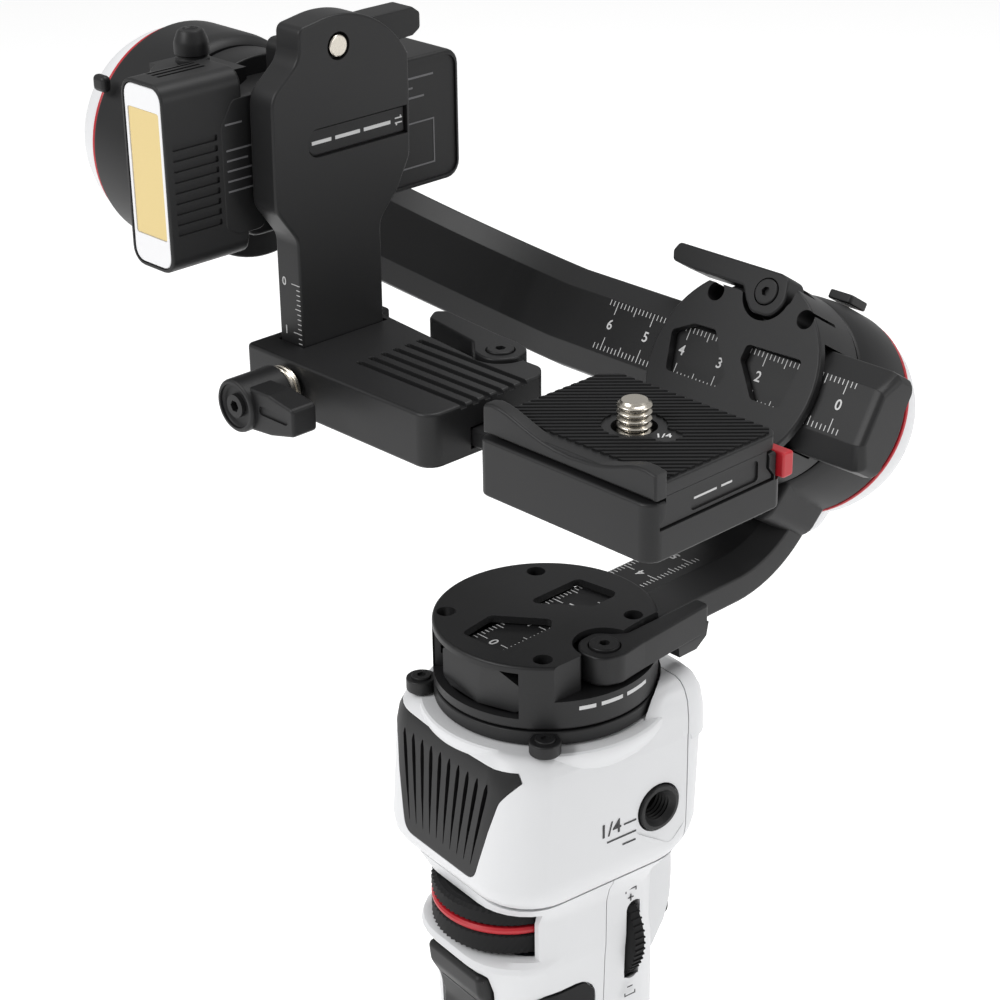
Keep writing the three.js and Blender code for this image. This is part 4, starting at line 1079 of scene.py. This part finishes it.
# ---------- tilt motor, clamp block, light and plate ----------
class MakeTilt(bpy.types.Operator):
    """Build the tilt motor with its seal and cap, the clamp block, its lever and the upright plate"""

    bl_idname = "gimbal.make_tilt"
    bl_label = "Tilt motor, clamp and plate"

    def execute(self, context):
        look = finishes()
        housing = lathe([
            (21.2, -105.5), (22.2, -105.3), (22.6, -104.6), (22.6, -92.5), (22.2, -90), (21.2, -88.8),
            (20.6, -88.4),
        ], "X", sides=96)
        fit(carve(
            "tilt_housing", [housing], [rod(6.4, -104, -80, "X", rim=0)], place=TILT
        ), "roll_link", "black_plastic", "tilt_motor_housing")
        fit(carve(
            "tilt_seal", [rod(21.9, -106.6, -105.75, "X", rim=0.3, sides=96)], place=TILT
        ), "roll_link", "red_trim", "tilt_seal_ring")
        cap = lathe([
            (12.5, -115.8), (15.2, -115.5), (17.6, -114.6), (19.2, -113), (20.3, -110.8), (20.8, -108.6),
            (20.8, -107.0),
        ], "X", sides=96)
        fit(carve("tilt_cap", [cap], place=TILT), "roll_link", "white_shell", "tilt_motor_cap")
        tab = carve("tilt_tab", [slab(
            box_outline(-21.6, -19.4, 12.8, 16.2, 1.0), -105.2, -101.4, "X", 0.9
        )], place=TILT)
        fit(tab, "tilt_lock", "black_plastic", "tilt_lock_tab")

        back, front = -80.1, -65.55
        pivot = (4.8, 24.4)
        label = slab(box_outline(-16, 40.4, -10, 17, 3.4), back, front, "X", 0.9)
        rim = slab(box_outline(14, 39.4, -9, 16, 2.6), front - 0.45, front + 1, "X", 0)
        shoulder = slab(rounded([(-6, 0), (14, 0), (14, 27), (-6, 27)], 2), -69.6, front, "X", 0.6)
        rail = slab(box_outline(-4.4, 12.4, -9, 25, 2), front - 0.5, -62.95, "X", 0.3, low_fillet=0)
        block_piece = carve(
            "tilt_block", [rod(20.6, -87.65, back + 0.5, "X", rim=0.5, sides=96), label, shoulder, rail],
            [
                rod(5.6, -100, -83, "X", rim=0), rim, rod(6.2, front - 4.6, -50, "X", *pivot, 0),
                block(front - 4.6, -50, 4.8, 40, 20.6, 40),
            ],
            place=TILT, bevel=0.2,
        )
        fit(block_piece, "tilt_rotor", "black_plastic", "tilt_clamp_block")
        fit(carve(
            "tilt_lever_pin", [rod(1.7, front - 4.6, -63.2, "X", *pivot, 0.2)], place=TILT
        ), "tilt_rotor", "black_plastic")
        outline = rounded([
            (-0.4, 22.0), (-0.2, 26.6), (4.2, 29.2), (15.4, 27.9), (19.0, 28.0), (26.4, 28.0), (28.4, 26.6),
            (28.4, 23.4), (26.4, 22.2), (21, 22.0), (17.6, 23.9), (12.6, 23.8), (9.0, 20.6), (3, 18.8),
        ], [3, 3, 4, 2, 2, 1.2, 1, 1, 1, 1.6, 1.6, 2, 2, 4])
        lever = carve(
            "tilt_lever_arm", [slab(outline, front - 4.1, -63.4, "X", 0.5)],
            [rod(1.95, -100, 0, "X", *pivot, 0)], place=TILT, bevel=0.1,
        )
        fit(lever, "tilt_lock_lever", "black_plastic", "tilt_lever")
        face = Matrix(((0, 0, 1, front - 0.42), (1, 0, 0, 0), (0, 1, 0, 0), (0, 0, 0, 1)))
        # An empty outlined square and plain dashes.
        bars = [
            (24.2, 33.6, -5.7, -5.4), (24.2, 33.6, 3.4, 3.7), (24.2, 24.5, -5.4, 3.4),
            (33.3, 33.6, -5.4, 3.4),
        ]
        bars += [(18, 33.6, 12.6, 13.0), (18, 28, 10.6, 11.0), (18, 31, 8.6, 9.0), (18, 25, 6.6, 7.0)]
        marks("block_marks", bars, [], TILT @ face, "tilt_rotor", look["print_grey"], "black_plastic")

        arc = [
            (20.6 * math.cos(t), 12 + 20.6 * math.sin(t))
            for t in [0.5 + (1.72 - 0.5) * k / 20 for k in range(21)]
        ]
        lead = [(-11.4, -41.3), (9.4, -41.3), (9.6, -10), (14.4, -4.6), (17.8, 1.5), (18.1, 14)]
        tail = [(-8.8, 31.4), (-9, 25.4), (-16, 19.6), (-16.4, -2), (-11.4, -9)]
        outline = rounded([*lead, *arc, *tail], [0.4, 0.4, 4, 4, 4, 2, *[0] * 21, 1.6, 5, 5, 5, 4], 4)
        strip_outline = rounded([(-7.8, 6.2), (17.2, 6.2), (17.2, 11.8), (-7.8, 11.8)], [2.4, 0, 0, 2.4])
        plate = carve(
            "upright", [slab(outline, -62.6, -55.6, "X", 0.6)],
            [rod(2.7, -57.6, -50, "X", 0.6, 26.6, 0), slab(strip_outline, -56.9, -50, "X", 0)], place=TILT,
            bevel=0.18,
        )
        fit(plate, "camera_upright", "black_anodised", "tilt_plate")
        floor = carve("slide_strip", [slab(
            offset(strip_outline, 0.38), -57.5, -56.28, "X", 0.12, low_fillet=0
        )], place=TILT)
        fit(floor, "camera_upright", "black_anodised")
        pin = carve("stop_pin", [rod(2.15, -57.4, -55.5, "X", 0.6, 26.6, 0.35)], place=TILT)
        fit(pin, "camera_upright", "bare_steel", "tilt_stop_pin")
        strip = Matrix(((0, 0, 1, -56.27), (1, 0, 0, 0), (0, 1, 0, 0), (0, 0, 0, 1)))
        bars = [(-6.4, -1.6, 8.6, 9.3), (-0.6, 5.6, 8.6, 9.3), (6.6, 13.4, 8.6, 9.3)]
        bars += [
            (14.6, 16.4, 9.3, 9.55), (14.6, 16.4, 8.35, 8.6), (15.9, 16.2, 9.55, 9.9),
            (14.8, 15.1, 8.0, 8.35),
        ]
        marks("slide_marks", bars, [], TILT @ strip, "camera_upright", look["print_white"], "black_anodised")
        edge = Matrix(((0, 1, 0, -59.1), (0, 0, -1, -11.42), (1, 0, 0, 0), (0, 0, 0, 1)))
        bars = []
        for k in range(0, 22):
            length = 2.4 if k % 10 == 0 else 1.6 if k % 5 == 0 else 1.0
            bars.append((-18.38 - k, -18.22 - k, 3.2 - length, 3.2))
        marks(
            "height_scale", bars, [("0", -18.3, -1.4, 2.4, -90), ("1", -28.3, -1.4, 2.4, -90)], TILT @ edge,
            "camera_upright", look["print_white"], "black_anodised",
        )
        return {"FINISHED"}


class MakeLight(bpy.types.Operator):
    """Build the fill light, its frame, panel and knob"""

    bl_idname = "gimbal.make_light"
    bl_label = "Fill light"

    def execute(self, context):
        look = finishes()
        x0, x1, y, z0, z1 = -76.6, -63.8, -34.8, -12.2, 24.2
        shell = slab(box_outline(x0, x1, z0, z1, 3.3), y, -16.4, "Y", 0.7, low_fillet=0.4)
        rear = slab([
            (-87.6, -18.6), (-84, -22.6), (x0 + 1, -27), (x0 + 1, -16.35), (-87.6, -16.35),
        ], -9, 21.4, "Z", 0.5)
        deck = block(-87.6, -72, -20, -8.8, 17.2, 21.4)
        ribs = [
            slab(box_outline(-33.2, -22.8, -4.7 + k * 2.05, -3.5 + k * 2.05, 0.3), x1 - 0.5, x1 + 3, "X", 0)
            for k in range(9)
        ]
        fins = [block(-75.2 + k * 1.6, -74.4 + k * 1.6, -31, -20, z1 - 0.7, z1 + 3) for k in range(4)]
        label = slab(rounded(
            [(-22, -6), (-19, -7.7), (-12.6, -7.7), (-12.6, 18.8), (-19, 18.8), (-22, 14)], 1.6
        ), -65.2, x1 + 0.12, "X", 0.3, low_fillet=0)
        facing = Matrix(((0, 0, 1, x1 + 0.14), (1, 0, 0, 0), (0, 1, 0, 0), (0, 0, 0, 1)))
        bars = [
            (-21, -21 + long, z, z + 0.35)
            for z, long in ((14, 4), (9, 6), (7, 5), (5, 6.5), (3, 5.5), (1, 6))
        ]
        marks("light_marks", bars, [], TILT @ facing, "tilt_rotor", look["print_grey"], "black_plastic")
        pocket = slab(box_outline(x0 + 0.7, x1 - 0.7, z0 + 0.7, z1 - 0.7, 2.6), y - 1, y + 2.4, "Y", 0)
        housing = carve("light_shell", [shell, rear, deck, label], [
            pocket, rod(20.95, -100, -65.3, "X", rim=0, sides=96), rod(2.2, 14, 40, "Z", -80.8, -14.8, 0),
            *ribs, *fins,
        ], place=TILT, bevel=0.1)
        fit(housing, "tilt_rotor", "black_plastic", "light_housing")
        frame_ring = slab(box_outline(
            x0 + 0.85, x1 - 0.85, z0 + 0.85, z1 - 0.85, 2.5
        ), y + 0.1, y + 2.1, "Y", 0.25)
        opening = slab(box_outline(x0 + 1.7, x1 - 1.7, z0 + 6.4, z1 - 5.4, 0.5), y - 1, y + 0.8, "Y", 0)
        surround = carve("light_surround", [frame_ring], [opening], place=TILT, bevel=0.08)
        fit(surround, "tilt_rotor", "light_frame_grey", "light_frame")
        panel = carve("light_diffuser", [slab(
            box_outline(x0 + 1.8, x1 - 1.8, z0 + 6.5, z1 - 5.5, 0.4), y + 0.25, y + 0.75, "Y", 0.1
        )], place=TILT)
        fit(panel, "tilt_rotor", "warm_light", "light_panel")
        profile = [
            (1.8, 18.2), (1.8, 21.8), (3.1, 21.9), (3.35, 22.2), (3.35, 22.8), (3.05, 23.1), (3.05, 23.4),
            (3.4, 23.7), (3.4, 25.6), (3.2, 26.4), (2.6, 27.9), (2.2, 28.3), (1.6, 28.4), (1.3, 28.1),
            (0.8, 28.0),
        ]
        knob = carve("light_knob", [lathe(profile, "Z", -80.8, -14.8)], place=TILT)
        fit(knob, "brightness_dial", "black_plastic", "light_dial")
        return {"FINISHED"}


# ---------- camera platform ----------
class MakePlatform(bpy.types.Operator):
    """Build the camera platform, its levers, the quick-release base and plate, and the camera screw"""

    bl_idname = "gimbal.make_platform"
    bl_label = "Platform and quick release"

    def execute(self, context):
        look, sizes = finishes(), context.scene.gimbal_sizes
        outline = rounded([
            (-65.6, -16.9), (-12.8, -16.9), (-12.8, 12), (-15.8, 15), (-41, 15), (-43.4, 12.2), (-54, 15.4),
            (-65.6, 15.6),
        ], [1.2, 3.6, 2, 2, 1, 1, 1, 1.4])
        grooves = [
            slab(box_outline(-42.6, -6, -8.7 + k * 3.1, -7.3 + k * 3.1, 0.65), 220.9, 230, "Z", 0)
            for k in range(6)
        ]
        cuts = [
            block(-62.95, -55.25, -10.95, 10.75, 200, 230), block(-51, -6, -6.3, 6.3, 212.25, 216.55),
            rod(5.9, 216.8, 230, "Z", -26.4, 14.4, 0),
            slab([(-20, 30), (-26.4, 8.7), (-60, 12.4), (-60, 30)], 216.8, 230, "Z", 0),
            rod(2.6, -30, -12.4, "Y", -52.4, 216.4, 0), *grooves,
        ]
        deck = carve("platform_deck", [slab(outline, 210.8, 221.8, "Z", 0.7)], cuts, bevel=0.16)
        fit(deck, "camera_platform", "black_anodised", "platform")
        pin = carve(
            "platform_lever_pin", [rod(2.7, 216.4, 222.7, "Z", -26.4, 14.4, 0.3)],
            [slab(circle(1.1, -26.4, 14.4, 6), 221.8, 224, "Z", 0)],
        )
        fit(pin, "camera_platform", "black_plastic")
        outline = rounded([
            (-21.2, 14), (-22.6, 18.6), (-27, 19.7), (-33, 19.9), (-49.2, 21.6), (-51.2, 19.8), (-49, 16.4),
            (-33.4, 13.8), (-29.4, 10.2), (-24, 9.2),
        ], [4, 4, 3, 3, 1.2, 1.2, 1.6, 3, 4, 4])
        lever = carve(
            "platform_lever_arm", [slab(outline, 217.2, 222.3, "Z", 0.45)],
            [rod(2.95, 200, 240, "Z", -26.4, 14.4, 0)], bevel=0.1,
        )
        fit(lever, "platform_lock_lever", "black_plastic", "platform_lever")

        cx, cz = -52.4, 216.4
        barrel = rod(5.3, -30.6, -20.2, "Y", cx, cz, 0.6)
        ear = slab(rounded([
            (cx, 220.6), (cx + 9, 220.9), (-36.4, 219.8), (-36.4, 214.3), (cx + 9, 212.6), (cx, 211.8),
        ], [0, 3, 1, 1, 3, 0]), -29.4, -23.6, "Y", 0.6)
        face = slab(box_outline(-46.4, -38, 216.2, 218.0, 0.8), -30, -29.0, "Y", 0)
        knob = carve("height_knob_body", [barrel, ear, rod(2.2, -20.6, -12.8, "Y", cx, cz, 0.2)], [
            lathe([
                (4.4, -32), (4.4, -30.0), (3.7, -29.6), (2.3, -29.6), (2.3, -31), (0.1, -31.0),
            ], "Y", cx, cz),
            face, slab(circle(1.2, cx, cz, 6), -32, -28.6, "Y", 0),
        ], bevel=0.14)
        fit(knob, "height_lock", "black_plastic", "height_knob")
        washer = carve("height_washer_ring", [lathe([
            (2.6, -19.95), (4.4, -19.95), (4.7, -19.6), (4.7, -19.1), (4.35, -18.85), (4.7, -18.6),
            (4.7, -18.1), (4.4, -17.75), (2.6, -17.75),
        ], "Y", cx, cz)], [rod(2.5, -30, 0, "Y", cx, cz, 0)])
        fit(washer, "camera_platform", "bare_steel", "height_washer")

        # quick-release base
        channel = [
            (-13.15, 224), (-13.15, 219.6), (-14.55, 217.9), (-14.55, 216.95), (14.75, 216.95),
            (14.75, 217.9), (13.35, 219.6), (13.35, 224),
        ]
        sole = slab(rounded(
            [(0.2, -17), (42.4, -17), (42.4, 17.2), (0.2, 17.2)], [2.2, 3, 2, 2]
        ), 211.0, 222.2, "Z", 0.6)
        cuts = [slab(channel, -10, 60, "X", 0), block(35.55, 60, 15.1, 20, 216.8, 230)]
        base = carve("release_base_body", [sole], cuts, bevel=0.16)
        fit(base, "release_base", "black_anodised", "quick_release_base")
        rail = carve(
            "release_rail", [slab(box_outline(-6, 6, 212.6, 216.2, 0.5), -36, 0.8, "X", 0.3)],
            [block(-34, 0, -2, 2, 215.6, 217)], bevel=0.1,
        )
        fit(rail, "release_base", "black_anodised")
        key = carve("release_key_body", [slab(
            box_outline(15.5, 18.3, 217.2, 222, 0.6), 37.4, 43.8, "X", 0.45, low_fillet=0
        )])
        fit(key, "release_key", "red_trim", "release_button")

        # ribbed camera plate
        outline = rounded([
            (0.6, -15.4), (42, -15.4), (42, 14.6), (40.4, 16.6), (3.6, 16.6), (0.6, 13.6),
        ], 1.2)
        profile = [
            (-14.2, 217.3), (14.4, 217.3), (14.4, 217.9), (13, 219.6), (13, 222.8), (-12.8, 222.8),
            (-12.8, 219.6), (-14.2, 217.9),
        ]
        foot = skin([[(x, *p) for p in profile] for x in (2, 42)])
        crest = [(0.4, 222.7), (42.2, 222.7), *curve((42.2, 227.6), (35, 229.4), (35, 225), (22, 224.8))]
        crest += curve((22, 224.8), (12, 224.8), (8, 228.8), (2.6, 228.7))[1:] + [(0.9, 228.3), (0.4, 227.6)]
        lip = slab([Vector(p) for p in crest], -15.8, -12.6, "Y", 0.6)
        cx, cy = 22, 0.6
        cuts = [rod(4.2, 200, 240, "Z", cx, cy, 0), slab(
            box_outline(-6.5, 10.8, 217.9, 221.9, 0.8), 41.6, 50, "X", 0
        )]
        top = carve("camera_plate_body", [slab(outline, 222.6, 225.4, "Z", 0.4), foot, lip], cuts, bevel=0.12)
        fit(top, "camera_plate", "black_anodised", "quick_release_plate")
        pitch, height = sizes.rib_pitch, sizes.rib_height
        ribs = []
        angle = Matrix.Translation((cx, 0, 0)) @ Matrix.Rotation(math.radians(45), 4, "Z")
        for k in range(-24, 25):
            c = k * pitch
            profile = [
                (c - pitch * 0.36, 225), (c + pitch * 0.36, 225), (c + pitch * 0.25, 225.35 + height),
                (c - pitch * 0.25, 225.35 + height),
            ]
            ribs.append(moved(skin([[(x, *p) for p in profile] for x in (-40, 40)]), angle))
        pad_area = slab(rounded([
            (1.4, -12), (41.2, -12), (41.2, 14.4), (40, 15.9), (4.0, 15.9), (1.4, 13.3),
        ], 1), 224.9, 225.8, "Z", 0.0)
        rib_work = new_object("rib_field", mesh_of("rib_field", (
            [p for r in ribs for p in r[0]],
            [tuple(i + 8 * n for i in f) for n, r in enumerate(ribs) for f in r[1]],
        ), PAN))
        for operation, shape in (
            ("INTERSECT", pad_area), ("DIFFERENCE", rod(5.9, 200, 240, "Z", cx, cy, 0)),
            ("DIFFERENCE", slab(box_outline(cx, cx + 9.6, cy - 2.2, cy + 3.0, 1.4), 200, 240, "Z", 0)),
        ):
            tool = new_object("rib_tool", mesh_of("rib_tool", shape, PAN))
            step = rib_work.modifiers.new("shape", "BOOLEAN")
            step.operation, step.object, step.solver = operation, tool, "EXACT"
            settle(rib_work)
            bpy.data.objects.remove(tool)
        shade(rib_work)
        fit(rib_work, "camera_plate", "soft_rubber")
        marks(
            "screw_size", [], [("1/4", 28.6, 1.0, 2.3, 45)], Matrix.Translation((0, 0, 225.42)),
            "camera_plate", look["print_white"], "black_anodised",
        )
        strip = Matrix(((0, 0, 1, 41.62), (1, 0, 0, 0), (0, 1, 0, 0), (0, 0, 0, 1)))
        marks(
            "plate_marks", [(-5.4, 0.4, 219.7, 220.1), (1.6, 4.4, 219.7, 220.1)], [], strip, "camera_plate",
            look["print_white"], "black_anodised",
        )

        profile = [(0.6, 218.6), (3.9, 218.6), (3.9, 221), (2.4, 221.1), (2.4, 222.6)]
        z = 222.6
        while z < 229.2:
            profile += [
                (2.62, z + 0.12), (3.1, z + 0.44), (3.175, z + 0.56), (3.175, z + 0.7), (3.1, z + 0.82),
                (2.62, z + 1.12),
            ]
            z += 1.27
        profile += [(2.62, 230.1), (2.35, 230.5), (2.0, 230.6)]
        screw = carve("camera_screw_body", [lathe(profile, "Z", cx, cy, 64)])
        fit(screw, "mount_screw", "bare_steel", "camera_screw")
        return {"FINISHED"}


class MakeHidden(bpy.types.Operator):
    """Give the frame pieces that stay inside their finishes"""

    bl_idname = "gimbal.make_hidden"
    bl_label = "Inner pieces"

    def execute(self, context):
        look = finishes()
        slots = {s["node"]: s["material_slot"] for s in frame["record"]["subparts"]}
        for node, thing in frame["nodes"].items():
            if thing.hide_render:
                continue
            thing.data.materials.clear()
            thing.data.materials.append(look[slots[node]])
        return {"FINISHED"}


# ---------- stage ----------
class MakeStage(bpy.types.Operator):
    """Set the floor, the soft studio lights and the camera"""

    bl_idname = "gimbal.make_stage"
    bl_label = "Stage"

    def execute(self, context):
        scene = context.scene
        floor = new_object("floor", mesh_of("floor", (
            [(-9000, -9000, -1), (9000, -9000, -1), (9000, 9000, -1), (-9000, 9000, -1)], [(0, 1, 2, 3)],
        ), PAN))
        floor.data.materials.append(finish(
            "pale floor", (0.9, 0.9, 0.9), 0.9, speckle=0.0, bump=0.0, glow=0.42, shine=0.1
        ))
        world = bpy.data.worlds.new("soft studio")
        world.use_nodes = True
        world.node_tree.nodes["Background"].inputs["Color"].default_value = (1, 1, 1, 1)
        world.node_tree.nodes["Background"].inputs["Strength"].default_value = 0.46
        scene.world = world
        aim = Vector((0, 0, 0.21))
        for name, spot, size, power in (
            ("key", (-0.5, -0.9, 1.1), 0.5, 5.0), ("strip", (-0.12, -0.92, 0.86), 0.22, 3.6),
            ("top", (0.1, 0.3, 1.2), 0.6, 6.0), ("side", (1.1, 0.5, 0.5), 0.45, 3.2),
        ):
            lamp = bpy.data.lights.new(name, "AREA")
            lamp.size, lamp.energy = size, power
            light = new_object(name, lamp)
            light.location = spot
            light.rotation_euler = (aim - Vector(spot)).to_track_quat("-Z", "Y").to_euler()
        turn, rise, lean = math.radians(46.48), math.radians(25.35), math.radians(-0.82)
        back = Vector((math.sin(turn) * math.cos(rise), -math.cos(turn) * math.cos(rise), math.sin(rise)))
        right = (-back).cross(Vector((0, 0, 1))).normalized()
        up = right.cross(-back)
        tilted_right = math.cos(lean) * right + math.sin(lean) * up
        tilted_up = -math.sin(lean) * right + math.cos(lean) * up
        lens = bpy.data.cameras.new("camera")
        lens.sensor_width, lens.lens, lens.clip_start, lens.clip_end = 36, 88.48, 0.02, 40
        camera = new_object("camera", lens)
        pose = Matrix((tilted_right, tilted_up, back)).transposed().to_4x4()
        pose.translation = (0.2928, -0.2894, 0.3990)
        camera.matrix_world = pose
        scene.camera = camera
        scene.view_settings.view_transform = "Standard"
        return {"FINISHED"}


class GimbalPanel(bpy.types.Panel):
    """The gimbal's values and its pieces"""

    bl_idname = "GIMBAL_PT_main"
    bl_label = "Camera gimbal"
    bl_space_type = "VIEW_3D"
    bl_region_type = "UI"
    bl_category = "Gimbal"

    def draw(self, context):
        for group in (context.scene.gimbal_finish, context.scene.gimbal_sizes):
            for name in group.__annotations__:
                self.layout.prop(group, name)
        for operator in OPERATORS:
            self.layout.operator(operator.bl_idname)


OPERATORS = (
    MakeStage, MakeShells, MakeVent, MakeControls, MakePan, MakeRoll, MakeTilt, MakeLight, MakePlatform,
    MakeHidden,
)
CLASSES = (GimbalFinish, GimbalSizes, *OPERATORS, GimbalPanel)


def register():
    for item in CLASSES:
        bpy.utils.register_class(item)
    bpy.types.Scene.gimbal_finish = PointerProperty(type=GimbalFinish)
    bpy.types.Scene.gimbal_sizes = PointerProperty(type=GimbalSizes)


def unregister():
    del bpy.types.Scene.gimbal_sizes
    del bpy.types.Scene.gimbal_finish
    for item in reversed(CLASSES):
        bpy.utils.unregister_class(item)


def main():
    register()
    for thing in list(bpy.data.objects):
        if thing.name in ("Cube", "Light", "Camera"):
            bpy.data.objects.remove(thing)
    for operator in OPERATORS:
        family, name = operator.bl_idname.split(".")
        getattr(getattr(bpy.ops, family), name)()


if __name__ == "__main__":
    main()
